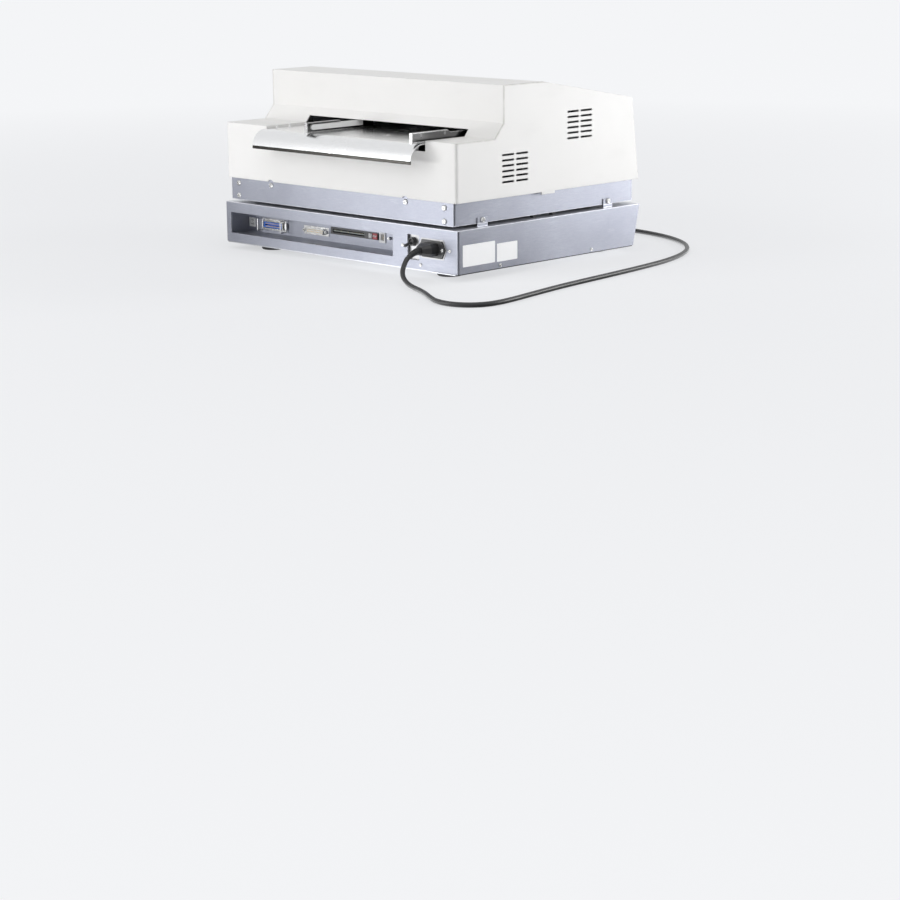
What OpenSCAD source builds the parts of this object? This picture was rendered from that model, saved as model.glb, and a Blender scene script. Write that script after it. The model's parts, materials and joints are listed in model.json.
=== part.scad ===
// Label printer: a print unit under a folded cover, on a flat interface box.
// Frame: +Z up, the connectors and the media lip face +Y, z = 0 is the surface
// under the feet, and x = 0, y = 0 is the middle of the machine's outline.

/* [Lower box] */
// Width over the side walls
box_w = 480; // [440:520]
// Depth at the top edge, back face to front edge
box_d = 380; // [360:400]
// Height of the walls
box_h = 59.3; // [55:0.1:66]
// How far the front face leans in toward its lower edge
box_rake = 13; // [4:18]
// Thickness of the steel sheet
sheet = 1.5; // [1.2:0.1:1.8]
// Dark seam between the back panels and the side walls
seam = 2.5; // [1.5:0.1:3]

/* [Feet] */
// Height of a rubber foot
foot_h = 9.5; // [8:0.5:14]
// Diameter of a rubber foot
foot_d = 36; // [28:40]
// Foot centre from the side wall
foot_side = 56; // [40:70]
// Foot centre from the back face
foot_back = 42; // [36:60]
// Foot centre from the front edge of the box top
foot_front = 38; // [36:60]

/* [Port recess] */
// Recess edge from the side wall beside the mains inlet
port_side = 124.8; // [120:130]
// Recess edge from the other side wall
port_far = 9.3; // [8:0.1:14]
// Recess floor above the wall's lower edge
port_z = 13; // [10:0.5:16]
// Height of the recess
port_h = 30.8; // [29:0.1:34]
// Depth of the recess
port_d = 36; // [30:42]

/* [Power corner] */
// Switch window edge from the side wall
switch_side = 73; // [71.5:0.5:80]
// Width of the switch window
switch_w = 22.7; // [20:0.1:26]
// Window's lower edge above the wall's lower edge
switch_z = 12.5; // [10:0.5:14]
// Height of the switch window
switch_h = 34.5; // [30:0.5:36]
// Mains inlet centre from the side wall
inlet_side = 47; // [42:48]
// Mains inlet centre above the wall's lower edge
inlet_z = 31; // [26:34]
// Width of the inlet's six-sided flange
inlet_w = 50; // [44:50]
// Height of the inlet's flange
inlet_h = 24; // [23:0.5:28]

/* [Deck] */
// Open gap between the lower box and the deck
deck_gap = 4.4; // [3:0.1:6]
// Width of the deck
deck_w = 459; // [450:462]
// Height of the deck that shows under the cover
deck_show = 31.7; // [28:0.1:36]
// Height of the deck walls inside the cover
deck_tuck = 9; // [6:12]
// Deck's front face behind the front edge of the box top
deck_front = 5; // [4:0.5:9]

/* [Cover] */
// Width of the cover
cover_w = 474; // [468:480]
// Cover's back face in front of the box's back face
cover_back = 1.8; // [1:0.1:4]
// Thickness of the cover
cover_t = 1.6; // [1.2:0.1:2]
// Radius of the upright corners
corner_r = 4.5; // [3:0.5:8]
// Height of the low back wall, up to the ledge
ledge_h = 80.6; // [76:0.1:86]
// Depth of the ledge
ledge_d = 75.9; // [70:0.1:80]
// Run of the slanted step above the ledge
step_run = 17.3; // [14:0.1:20]
// Rise of the slanted step above the ledge
step_rise = 20.3; // [18:0.1:24]
// Height of the cover
cover_h = 152.1; // [146:0.1:160]
// Depth of the flat top
flat_d = 79.6; // [70:0.1:86]
// Drop of the front slope
slope_drop = 33.5; // [28:0.5:38]
// Lean of the cover's front face
brow_rake = 15.4; // [10:0.1:20]

/* [Media path] */
// Width of the feed notch
feed_w = 325; // [315:330]
// Centre of the media path from the middle of the machine
feed_x = -16.5; // [-20:0.5:-14]
// Top of the feed notch above the ledge
notch_rise = 9.3; // [8:0.1:11]
// Bottom of the feed notch under the ledge
notch_drop = 14.5; // [12:0.5:18]
// Media tray under the ledge
tray_drop = 3.5; // [2.5:0.1:5]
// Thickness of the media tray
tray_t = 1.5; // [1:0.1:2]
// Outer radius of the tray's curved lip
lip_r = 25; // [20:30]
// Straight tail under the curved lip
lip_tail = 1.5; // [1:0.5:4]
// Start of the lip's curve behind the box's back face
lip_start = 1.5; // [0:0.5:3]

/* [Guides] */
// Height of a side guide
guide_h = 14.5; // [13:0.1:16]
// Depth of a guide's folded edges
guide_fold = 4; // [3:0.5:5]
// Right guide from the notch's edge at rest
guide_right_in = 8; // [6:12]
// Left guide from the notch's far edge at rest
guide_left_in = 100; // [95:105]
// Right guide's overhang behind the box's back face
guide_right_over = 19; // [16:20]
// Left guide's overhang behind the box's back face
guide_left_over = 13; // [10:16]

/* [Lid] */
// Width of the lid's opening in the slope
lid_w = 380; // [370:390]
// Length of the lid's opening down the slope
lid_l = 155; // [145:157]
// Gap round the lid
lid_gap = 0.9; // [0.6:0.1:1.4]

/* [Print mechanism] */
// Clear width between the side frames
frame_clear = 348; // [342:352]
// Thickness of a side frame
frame_t = 2.5; // [2:0.1:3]
// Radius of the platen
platen_r = 10; // [9:0.5:11]
// Radius of the feed roller
feed_r = 10; // [9:0.5:11]
// Radius of the pinch roller
pinch_r = 7; // [6:0.5:8]
// Radius of the new ribbon roll
supply_r = 20; // [16:22]
// Radius of the spent ribbon roll
takeup_r = 12; // [11:0.5:13]

/* [Mains lead] */
// Radius of the mains lead
lead_r = 3.4; // [3:0.1:3.6]
// Loops of the coil in one layer
coil_turns = 2; // [2:3]
// Radius of the coil's middle
coil_r = 37; // [34:40]

/* [Hidden] */

$fn = 48;

// Overrun of cuts past a face
over = 1;
// Clearance of a piece in its hole, and of a running shaft
fit = 0.3;
run = 0.05;

// Exit chute
chute_over = 9;
chute_t = 1.5;
chute_drop = 0.6;
tear_pitch = 4;
tear_h = 2;
slot_low = 4;
slot_high = 12;

// Stations along Y and levels along Z
front_reach = box_d + chute_over;
lip_reach = lip_start + lip_r;
y_back = (front_reach - lip_reach) / 2;
y_front = y_back - box_d;
y_seam = y_back - sheet - seam;
z_box = foot_h + sheet;
z_top = z_box + box_h;
z_deck = z_top + deck_gap;
z_floor = z_deck + sheet;
z_cover = z_deck + deck_show;
z_ledge = z_cover + ledge_h;
z_step = z_ledge + step_rise;
z_roof = z_cover + cover_h;
z_brow = z_roof - slope_drop;
y_cover = y_back - cover_back;
y_ledge = y_cover - ledge_d;
y_hood = y_ledge - step_run;
y_apex = y_hood - flat_d;
y_brow = y_front + brow_rake;
y_deck = y_cover - cover_t;
y_deck_front = y_front + deck_front;
y_deck_seam = y_deck - sheet - seam;
z_tray = z_ledge - tray_drop;
x_side = -box_w / 2;
slope_a = atan(slope_drop / (y_apex - y_brow));
slope_l = norm([y_apex - y_brow, slope_drop]);
lean_a = atan(brow_rake / (z_brow - z_cover));

// Sheet flanges
flange_d = 12;
corner_cut = 1;

// Base plate
base_lip = 0.8;
base_lip_w = 45;
base_lip_side = 3;
slot_w = 4;
slot_l = 40;
slot_rows = 10;
slot_pitch = 12;

// Feet
foot_taper = 2;
foot_bevel = 1.5;

// Ears that tie the deck to the box
ear_w = 20;
ear_up = 8;
ear_places = [59, 320];

// Deck pads
pad_w = 24;
pad_l = 16;
pad_side = 44;
pad_small = 6;
pad_edge = 17;
pad_places = [60, 300];
pad_small_places = [169, 209];

// Free width of the recess, shared out before the post, spare socket, card slot, serial, parallel and USB
port_gap_shares = [0.355, 0.073, 0.021, 0.045, 0.335, 0.16];
port_mid_share = 0.42;
port_up_share = 0.55;

usb_w = 12;
usb_flange = 0.8;
usb_deep = 16;
usb_proud = 1.2;
usb_mouth_w = 8.6;
usb_mouth_h = 8;
usb_mouth_deep = 9;
usb_tongue_w = 5.6;
usb_tongue_h = 3.2;

par_w = 47;
par_h = 17;
par_flange = 1;
par_ring_w = 43;
par_ring_h = 11.4;
par_ring_t = 0.8;
par_proud = 7;
par_body_w = 44;
par_body_h = 12;
par_deep = 10;
par_insert_w = 40;
par_insert_h = 8;
par_insert_proud = 6;
par_slot_w = 35;
par_slot_h = 2.6;
par_slot_deep = 5;
bail_wire = 0.8;
bail_reach = 11;
bail_half = 8.6;
bail_ear_r = 2.2;
bail_ear_h = 9;
bail_out = 2;
bail_up = 2.7;

ser_w = 53;
ser_h = 12.5;
ser_flange = 1;
ser_d_w = 39;
ser_d_h = 8.4;
ser_d_slant = 2;
ser_wall = 0.7;
ser_proud = 5.8;
ser_body_w = 41;
ser_body_h = 9.6;
ser_deep = 10;
ser_face = 1.2;
jack_pitch = 47;
jack_r = 2.5;
jack_h = 5.2;

card_w = 99;
card_h = 10;
card_proud = 1.6;
card_deep = 12;
card_slot_w = 66;
card_slot_h = 5;
card_slot_share = 0.12;
card_groove = 1.6;
card_t = 1.6;
card_back = 1;
dip_w = 6.4;
dip_h = 6;
dip_share = -0.443;
dip_proud = 1;
dip_flange = 1.2;
dip_deep = 6;

aux_w = 12;
aux_h = 15.6;
aux_body_w = 10;
aux_body_h = 13;
aux_proud = 1.5;
aux_deep = 12;
aux_mouth_w = 6.4;
aux_mouth_h = 9;
aux_mouth_deep = 8;
post_r = 2.4;
post_h = 6;

// Switch
bracket_in = 2.2;
bracket_lap = 3;
bush_r = 5.2;
bush_bore = 4;
bush_proud = 1.5;
nut_r = 7;
nut_h = 1.6;
switch_share = 0.64;
switch_up_share = 0.71;
switch_body_w = 13;
switch_body_h = 20;
switch_body_d = 22;
toggle_ball = 3.7;
toggle_root = 1.5;
toggle_tip = 2.4;
toggle_l = 15;
toggle_a = 16;

// Mains inlet and the plug in it
inlet_t = 2;
inlet_body_w = 28;
inlet_body_h = 21;
inlet_deep = 22;
mouth_w = 24.6;
mouth_h = 17;
mouth_deep = 17;
blade_w = 2;
blade_h = 4;
blade_l = 13;
blade_pitch = 7;
blade_drop = 2;
inlet_flat_share = 0.76;
plug_gap = 0.3;
plug_w = 27;
plug_h = 17;
plug_l = 13;
plug_bevel = 4.2;
neck_l = 11;
neck_w = 13;
neck_h = 11;
relief_l = 20;
relief_r = 5.2;
relief_tip = 3.9;
relief_drop = 36;
relief_steps = 6;
rib_groove = 0.7;
rib_share = 0.88;
relief_sides = 12;

// Power supply and main board
psu_w = 128;
psu_l = 190;
psu_h = 40;
psu_side = 14;
psu_back = 48;
board_l = 240;
board_side = 12;
board_back = 46;
board_lift = 8;
board_t = 1.6;
board_gap = 12;
post_shares = [0.05, 0.5, 0.95];
chip_l = 30;
chip_h = 4;
chip_edge = 20;
cap_r = 8;
cap_h = 20;

// Screw heads
head_r = 4.2;
head_h = 2.4;
small_r = 2.6;
small_h = 1.6;
head_edge_share = 0.45;
head_top_share = 0.7;
head_slot = 1;
deck_screw_side = 16.5;
deck_screw_top = 7.3;
deck_screw_pitch = 18.2;
cover_screw_drop = 5.4;
cover_screw_x = [-138.4, 140.7];
cover_notch_r = 5.5;
side_screw_up = 4.5;
base_screw_places = [84, 274];
base_screw_up = 4;
earth_side = 13.9;
bracket_screw_side = 9;
inlet_screw_w = 40;
plate_screw_side = 28;

// Vents
vent_l = 24.4;
vent_h = 2.8;
vent_rows = 6;
vent_columns = 2;
vent_pitch = 7.4;
vent_step = 28;
vent_low = [91.4, 57.8];
vent_high = [224.6, 107.2];

// Cover details
hem_t = 1.6;
notch_flange = 8;
tab_back = 172;
tab_w = 27;
tab_h = 3.5;

// Guides
plate = 1.2;
guide_gap = 0.3;
guide_step_up = 10.6;
guide_step_in = 50;
guide_slope = 10;
guide_in = 104;
guide_arm = 16;
collar_l = 14;
collar_r = 6;
rod_r = 3;
rod_up = 24;
rod_in = 112;
strip_t = 3;
strip_h = 7.6;
strip_up = 4;
strip_in = 96;
strip_start = 9;
pin_r = 2;
pin_h = 5;
pin_side = 5;
pin_places = [17, 42];
rivet_r = 1.8;
rivet_h = 1;
rivet_up = 10.3;
rivet_places = [2, 48];

// Stay under the tray
stay_w = 270;
stay_in = 12;
stay_flange = 12;

// Mechanism: places measured forward of the box's back face, and above the media plane
frame_back = 104;
frame_front = 352;
frame_top = 50;
frame_low = 24;
frame_crest = 190;
frame_hole_r = 22;
frame_hole_up = 52;
frame_holes = [160, 215];
feed_in = 262;
platen_in = 310;
feed_level = 0.1;
media_room = 0.6;
shaft_r = 4;
thin_r = 3;
sleeve_end = 4;
tray_edge = 2;
wide_from = 106;
pulley_r = 11;
pulley_gap = 2;
pulley_w = 8;
pulley_rim = 1;
belt_w = 5.6;
belt_t = 1.3;
motor_r = 6;
motor_in = 286;
motor_down = 54;
motor_w = 56;
motor_l = 50;
motor_bevel = 5;
supply_in = 215;
supply_up = 25;
takeup_in = 334;
takeup_up = 24;
ribbon_w = 300;
core_r = 9;
head_in = 303;
head_w = 15;
head_up = 23;
pivot_in = 286;
pivot_up = 24;
carrier_t = 3;
carrier_nose = 0.8;
carrier_side = 3;
fin_w = 3;
fin_pitch = 9;
fin_deep = 4;
fin_foot = 6;
lever_t = 4;
lever_l = 16;
lever_w = 8;

// Lid
lid_start = 10;
axis_in = 12;
axis_down = 5;
lid_rim = 8;
ear_t = 4;
ear_r = 4.5;
lug_t = 3;
hinge_pin = 2;
pull_w = 60;
pull_d = 4;
pull_h = 2.2;

// Operator panel, in the plane of the cover's front face
panel_w = 158;
panel_h = 42;
panel_t = 1.6;
panel_up = 9;
panel_x = 116;
panel_lap = 5;
panel_back = 3;
display_w = 64;
display_h = 18;
display_share = -0.24;
display_t = 1.2;
lamp_r = 2;
lamp_share = 0.3;
lamp_pitch = 12;
key_w = 14;
key_h = 9;
key_stop = 0.2;
key_proud = 2.2;
key_pitch = 18;
key_share = 0.28;
key_low_share = 0.3;
key_flange = 1;

// Mains lead: the route's points after the relief, chosen by hand
lead_sides = 10;
lead_points = [[-197, 242, 21], [-206, 250, 13], [-220, 256, 7], [-237, 261, 4], [-256, 269, 3.6],
    [-278, 281, 3.6], [-303, 297, 3.6], [-328, 311, 3.6], [-353, 316, 3.6], [-376, 309, 3.6],
    [-391, 292, 3.6], [-396, 268, 3.6], [-393, 235, 3.6], [-385, 190, 3.6], [-374, 125, 3.6],
    [-366, 60, 3.6], [-359, -5, 3.6], [-351, -70, 3.6], [-340, -135, 3.6], [-323, -190, 3.6],
    [-298, -238, 3.6], [-264, -277, 3.6], [-222, -306, 3.6], [-174, -326, 3.6], [-122, -337, 3.6],
    [-68, -340, 3.6]];
lead_floor = 0.2;
coil_gap = 1;
coil_sides = 6;
coil_steps = 24;
coil_tail = 8;
wall_w = 38;
wall_l = 34;
wall_bevel = 5;
prong_r = 2.4;
prong_l = 19;
prong_pitch = 19;
wall_neck = 12;

off_white = [0.88, 0.87, 0.84];
blue_grey = [0.58, 0.62, 0.70];
steel = [0.75, 0.76, 0.78];
black = [0.10, 0.10, 0.11];
white = [0.92, 0.92, 0.90];

// Helpers

module slab(x0, x1, y0, y1, z0, z1) {
    translate([x0, y0, z0])
        cube([x1 - x0, y1 - y0, z1 - z0]);
}

// A side outline, Y to the right and Z up, drawn out from x0 to x1
module along_x(x0, x1) {
    translate([x0, 0, 0])
        rotate([90, 0, 90])
            linear_extrude(x1 - x0)
                children();
}

module rod_x(x0, x1, y, z, r) {
    translate([x0, y, z])
        rotate([0, 90, 0])
            cylinder(h = x1 - x0, r = r);
}

module rod_y(x, z, y0, y1, r) {
    translate([x, y1, z])
        rotate([90, 0, 0])
            cylinder(h = y1 - y0, r = r);
}

// A box centred on x and z, from the depth y0 out to y1
module block_y(x, z, w, h, y0, y1) {
    slab(x - w / 2, x + w / 2, y0, y1, z - h / 2, z + h / 2);
}

module pan_head(r, h) {
    difference() {
        rotate_extrude()
            polygon([[0, 0], [r, 0], [r, h * head_edge_share], [r * head_top_share, h], [0, h]]);
        translate([-r, -head_slot / 2, h - h * head_edge_share])
            cube([2 * r, head_slot, h]);
    }
}

module head_back(x, y, z, r, h) {
    translate([x, y, z])
        rotate([-90, 0, 0])
            pan_head(r, h);
}

module head_side(x, y, z, r, h, side) {
    translate([x, y, z])
        rotate([0, side * 90, 0])
            pan_head(r, h);
}

// A bar with rounded ends along x, cut square along y
module rounded_slot(l, h, d) {
    rotate([90, 0, 0])
        linear_extrude(d) {
            square([l - h, h], center = true);
            for (side = [-1, 1])
                translate([side * (l - h) / 2, 0])
                    circle(h / 2, $fn = 20);
        }
}

module bevelled(w, h, b) {
    polygon([[-w / 2 + b, -h / 2], [w / 2 - b, -h / 2], [w / 2, -h / 2 + b], [w / 2, h / 2 - b],
        [w / 2 - b, h / 2], [-w / 2 + b, h / 2], [-w / 2, h / 2 - b], [-w / 2, -h / 2 + b]]);
}

// The outline turned to stand across Y, from the depth y0 out to y1
module across_y(x, z, y0, y1) {
    translate([x, y1, z])
        rotate([90, 0, 0])
            linear_extrude(y1 - y0)
                children();
}

module on_slope() {
    translate([0, y_apex, z_roof])
        rotate([slope_a, 0, 0])
            children();
}

module on_brow() {
    translate([0, y_front, z_cover])
        rotate([-lean_a, 0, 0])
            children();
}

// Feet and base

module feet() {
    color(black)
        for (x = [x_side + foot_side, -x_side - foot_side])
            for (y = [y_back - foot_back, y_front + foot_front])
                translate([x, y, 0])
                    rotate_extrude()
                        polygon([[0, 0], [foot_d / 2 - foot_taper, 0],
                            [foot_d / 2 - foot_taper + foot_bevel, foot_bevel],
                            [foot_d / 2, foot_h], [0, foot_h]]);
}

module base_plate() {
    color(blue_grey)
        difference() {
            union() {
                slab(x_side + corner_cut, -x_side - corner_cut, y_front + box_rake + corner_cut,
                    y_back - corner_cut, foot_h, z_box);
                slab(x_side + base_lip_side, x_side + base_lip_side + base_lip_w,
                    y_back - corner_cut, y_back + base_lip, foot_h, z_box);
            }
            for (side = [-1, 1])
                for (i = [0 : slot_rows - 1])
                    translate([side * box_w / 5, (y_back + y_front) / 2
                        + (i - (slot_rows - 1) / 2) * slot_pitch, foot_h - over])
                        linear_extrude(sheet + 2 * over) {
                            square([slot_l - slot_w, slot_w], center = true);
                            for (end = [-1, 1])
                                translate([end * (slot_l - slot_w) / 2, 0])
                                    circle(slot_w / 2, $fn = 20);
                        }
        }
}

// Lower box

module box_wrap() {
    color(blue_grey) {
        difference() {
            along_x(x_side, -x_side)
                polygon([[y_seam, z_box], [y_front + box_rake, z_box], [y_front, z_top], [y_seam, z_top]]);
            along_x(x_side + sheet, -x_side - sheet)
                polygon([[y_seam + over, z_box - over], [y_front + box_rake + sheet, z_box - over],
                    [y_front + box_rake + sheet, z_box], [y_front + sheet * (1 + box_rake / box_h), z_top - sheet],
                    [y_seam + over, z_top - sheet]]);
        }
        for (side = [-1, 1])
            for (place = ear_places)
                translate([side * (deck_w + sheet) / 2, y_back - place, z_top])
                    translate([-sheet / 2, -ear_w / 2, 0])
                        cube([sheet, ear_w, deck_gap + ear_up]);
    }
}

module rear_panel() {
    color(blue_grey)
        difference() {
            union() {
                slab(x_side, -x_side, y_back - sheet, y_back, z_box, z_top);
                slab(x_side, -x_side, y_seam, y_back - sheet, z_top - sheet, z_top);
                for (side = [-1, 1])
                    translate([side * (-x_side - sheet * 3 / 2), 0, 0])
                        slab(-sheet / 2, sheet / 2, y_back - flange_d, y_back - sheet, z_box, z_top - sheet);
            }
            slab(x_side + port_side, x_side + port_side + port_w, y_back - sheet - over, y_back + over,
                z_box + port_z, z_box + port_z + port_h);
            slab(x_side + switch_side, x_side + switch_side + switch_w, y_back - sheet - over,
                y_back + over, z_box + switch_z, z_box + switch_z + switch_h);
            block_y(x_side + inlet_side, z_box + inlet_z, inlet_body_w + 2 * fit, inlet_body_h + 2 * fit,
                y_back - sheet - over, y_back + over);
        }
}

// Port recess and its sockets

x_port = x_side + port_side;
port_w = box_w - port_side - port_far;
z_port = z_box + port_z;
y_port = y_back - port_d;
z_mid = z_port + port_h * port_mid_share;
z_up = z_port + port_h * port_up_share;
port_widths = [2 * post_r, aux_w, card_w, ser_w, par_w + 2 * (bail_out + bail_ear_r), usb_w + 2 * usb_flange];

function total(list, n) = n == 0 ? 0 : list[n - 1] + total(list, n - 1);

// Middle of the socket number i in the row
function port_at(i) = x_port + total(port_widths, i) + port_widths[i] / 2
    + (port_w - total(port_widths, len(port_widths))) * total(port_gap_shares, i + 1);

x_post = port_at(0);
x_aux = port_at(1);
x_card = port_at(2);
x_ser = port_at(3);
x_par = port_at(4);
x_usb = port_at(5);
x_dip = x_card + card_w * dip_share;
x_slot = x_card + card_w * card_slot_share;

module port_pocket() {
    color(blue_grey)
        difference() {
            slab(x_port - sheet, x_port + port_w + sheet, y_port, y_back - sheet,
                z_port - sheet, z_port + port_h + sheet);
            slab(x_port, x_port + port_w, y_port - over, y_back, z_port, z_port + port_h);
        }
}

module port_hole(x, z, w, h) {
    block_y(x, z, w + 2 * fit, h + 2 * fit, y_port - sheet - over, y_port + over);
}

module port_panel() {
    color(steel)
        difference() {
            slab(x_port - sheet, x_port + port_w + sheet, y_port - sheet, y_port,
                z_port - sheet, z_port + port_h + sheet);
            port_hole(x_usb, z_mid, usb_w, usb_w);
            port_hole(x_par, z_mid, par_body_w, par_body_h);
            port_hole(x_ser, z_mid, ser_body_w, ser_body_h);
            port_hole(x_card, z_up, card_w - 2 * sheet, card_h - sheet);
            port_hole(x_aux, z_up, aux_body_w, aux_body_h);
        }
}

module usb_socket() {
    color(white)
        difference() {
            union() {
                block_y(x_usb, z_mid, usb_w, usb_w, y_port - usb_deep, y_port + usb_proud);
                block_y(x_usb, z_mid, usb_w + 2 * usb_flange, usb_w + 2 * usb_flange, y_port, y_port + usb_proud);
            }
            difference() {
                block_y(x_usb, z_mid, usb_mouth_w, usb_mouth_h,
                    y_port + usb_proud - usb_mouth_deep, y_port + usb_proud + over);
                block_y(x_usb, z_mid, usb_tongue_w, usb_tongue_h,
                    y_port - usb_mouth_deep, y_port + usb_proud / 2);
            }
        }
}

module parallel_shell() {
    color(steel)
        difference() {
            union() {
                block_y(x_par, z_mid, par_w, par_h, y_port, y_port + par_flange);
                block_y(x_par, z_mid, par_body_w, par_body_h, y_port - par_deep, y_port + par_flange);
                block_y(x_par, z_mid, par_ring_w, par_ring_h, y_port, y_port + par_proud);
                for (side = [-1, 1]) {
                    translate([x_par + side * (par_w / 2 + bail_out), y_port + bail_up, z_mid - bail_ear_h / 2])
                        cylinder(h = bail_ear_h, r = bail_ear_r, $fn = 24);
                    block_y(x_par + side * (par_w + bail_out) / 2, z_mid, bail_out, bail_ear_h,
                        y_port, y_port + bail_up);
                }
            }
            block_y(x_par, z_mid, par_ring_w - 2 * par_ring_t, par_ring_h - 2 * par_ring_t,
                y_port + par_flange, y_port + par_proud + over);
            for (side = [-1, 1])
                translate([x_par + side * (par_w / 2 + bail_out), y_port + bail_up, z_mid - bail_ear_h])
                    cylinder(h = 2 * bail_ear_h, r = bail_wire + run, $fn = 24);
        }
}

module parallel_insert() {
    color([0.20, 0.38, 0.70])
        difference() {
            block_y(x_par, z_mid, par_insert_w, par_insert_h, y_port + par_flange, y_port + par_insert_proud);
            block_y(x_par, z_mid, par_slot_w, par_slot_h,
                y_port + par_insert_proud - par_slot_deep + par_flange, y_port + par_insert_proud + over);
        }
}

// A wire loop on the pivot at the socket's end
module bail(side) {
    color(steel)
        translate([x_par + side * (par_w / 2 + bail_out), y_port + bail_up, z_mid]) {
            for (y = [0, bail_reach])
                translate([0, y, -bail_half])
                    cylinder(h = 2 * bail_half, r = bail_wire, $fn = 24);
            for (end = [-1, 1]) {
                translate([0, 0, end * bail_half])
                    rotate([-90, 0, 0])
                        cylinder(h = bail_reach, r = bail_wire, $fn = 24);
                for (y = [0, bail_reach])
                    translate([0, y, end * bail_half])
                        sphere(bail_wire, $fn = 24);
            }
        }
}

module bail_left() {
    bail(1);
}

module bail_right() {
    bail(-1);
}

module d_outline(grow) {
    w = ser_d_w / 2 + grow;
    h = ser_d_h / 2 + grow;
    polygon([[-w + ser_d_slant, -h], [w - ser_d_slant, -h], [w - ser_d_slant / 2, -h / 2], [w, h / 2],
        [w - ser_d_slant / 2, h], [-w + ser_d_slant / 2, h], [-w, h / 2], [-w + ser_d_slant / 2, -h / 2]]);
}

module serial_shell() {
    color(steel) {
        difference() {
            union() {
                block_y(x_ser, z_mid, ser_w, ser_h, y_port, y_port + ser_flange);
                block_y(x_ser, z_mid, ser_body_w, ser_body_h, y_port - ser_deep, y_port + ser_flange);
                across_y(x_ser, z_mid, y_port, y_port + ser_proud)
                    d_outline(0);
            }
            across_y(x_ser, z_mid, y_port + ser_flange, y_port + ser_proud + over)
                d_outline(-ser_wall);
        }
        for (side = [-1, 1])
            difference() {
                rod_y(x_ser + side * jack_pitch / 2, z_mid, y_port + ser_flange, y_port + jack_h, jack_r, $fn = 6);
                rod_y(x_ser + side * jack_pitch / 2, z_mid, y_port + jack_h / 2, y_port + jack_h + over,
                    jack_r / 2, $fn = 20);
            }
    }
}

module serial_insert() {
    color(black)
        across_y(x_ser, z_mid, y_port + ser_flange, y_port + ser_proud - ser_face)
            d_outline(-ser_wall);
}

module card_bezel() {
    color(black)
        difference() {
            union() {
                block_y(x_card, z_up, card_w, card_h, y_port, y_port + card_proud);
                block_y(x_card, z_up, card_w - 2 * sheet, card_h - sheet, y_port - card_deep, y_port);
            }
            block_y(x_slot, z_up, card_slot_w, card_slot_h, y_port - card_deep - over, y_port + card_proud + over);
            block_y(x_slot, z_up, card_slot_w + 2 * card_groove, card_t + fit,
                y_port - card_deep - over, y_port + card_proud - card_back);
            block_y(x_dip, z_up, dip_w + 2 * fit, dip_h + 2 * fit, y_port - card_deep - over,
                y_port + card_proud + over);
        }
}

module option_card() {
    color([0.45, 0.50, 0.46])
        block_y(x_slot, z_up, card_slot_w + 2 * card_groove - fit, card_t,
            y_port - 3 * card_deep, y_port + card_proud - card_back - fit);
}

module dip_switch() {
    color([0.72, 0.10, 0.12]) {
        block_y(x_dip, z_up, dip_w, dip_h, y_port - dip_deep, y_port + card_proud);
        block_y(x_dip, z_up, dip_w + 2 * dip_flange, dip_h + 2 * dip_flange, y_port + card_proud,
            y_port + card_proud + dip_proud);
    }
}

module aux_socket() {
    color(white)
        difference() {
            union() {
                block_y(x_aux, z_up, aux_w, aux_h, y_port, y_port + aux_proud);
                block_y(x_aux, z_up, aux_body_w, aux_body_h, y_port - aux_deep, y_port);
            }
            block_y(x_aux, z_up, aux_mouth_w, aux_mouth_h, y_port + aux_proud - aux_mouth_deep,
                y_port + aux_proud + over);
        }
}

// Power switch

x_switch = x_side + switch_side + switch_w * switch_share;
z_switch = z_box + switch_z + switch_h * switch_up_share;
y_bracket = y_back - sheet - bracket_in;

module switch_bracket() {
    x0 = x_side + switch_side - bracket_lap;
    x1 = x_side + switch_side + switch_w + bracket_lap;
    z0 = z_box + switch_z - bracket_lap;
    z1 = z_box + switch_z + switch_h + bracket_lap;
    color(steel)
        difference() {
            slab(x0, x1, y_bracket - sheet, y_back - sheet, z0, z1);
            slab(x0 + sheet, x1 - sheet, y_bracket, y_back, z0 - over, z1 + over);
            rod_y(x_switch, z_switch, y_bracket - sheet - over, y_bracket + over, bush_r + fit);
        }
}

module switch_body() {
    color(black)
        difference() {
            union() {
                block_y(x_switch, z_switch, switch_body_w, switch_body_h,
                    y_bracket - sheet - switch_body_d, y_bracket - sheet);
                rod_y(x_switch, z_switch, y_bracket - sheet, y_back + bush_proud, bush_r);
                rod_y(x_switch, z_switch, y_bracket, y_bracket + nut_h, nut_r, $fn = 6);
            }
            rod_y(x_switch, z_switch, y_back + bush_proud - 2 * toggle_ball - 1.5 * fit,
                y_back + bush_proud + over, bush_bore);
        }
}

module power_lever() {
    color(steel)
        translate([x_switch, y_back + bush_proud - toggle_ball, z_switch])
            rotate([-90 - toggle_a, 0, 0]) {
                sphere(toggle_ball);
                cylinder(h = toggle_l, r1 = toggle_root, r2 = toggle_tip);
                translate([0, 0, toggle_l])
                    sphere(toggle_tip);
            }
}

// Mains inlet and its plug

x_inlet = x_side + inlet_side;
z_inlet = z_box + inlet_z;

module blades(w, h, y0, y1) {
    for (i = [-1 : 1])
        block_y(x_inlet + i * blade_pitch, z_inlet + (i == 0 ? -blade_drop : blade_drop), w, h, y0, y1);
}

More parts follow.
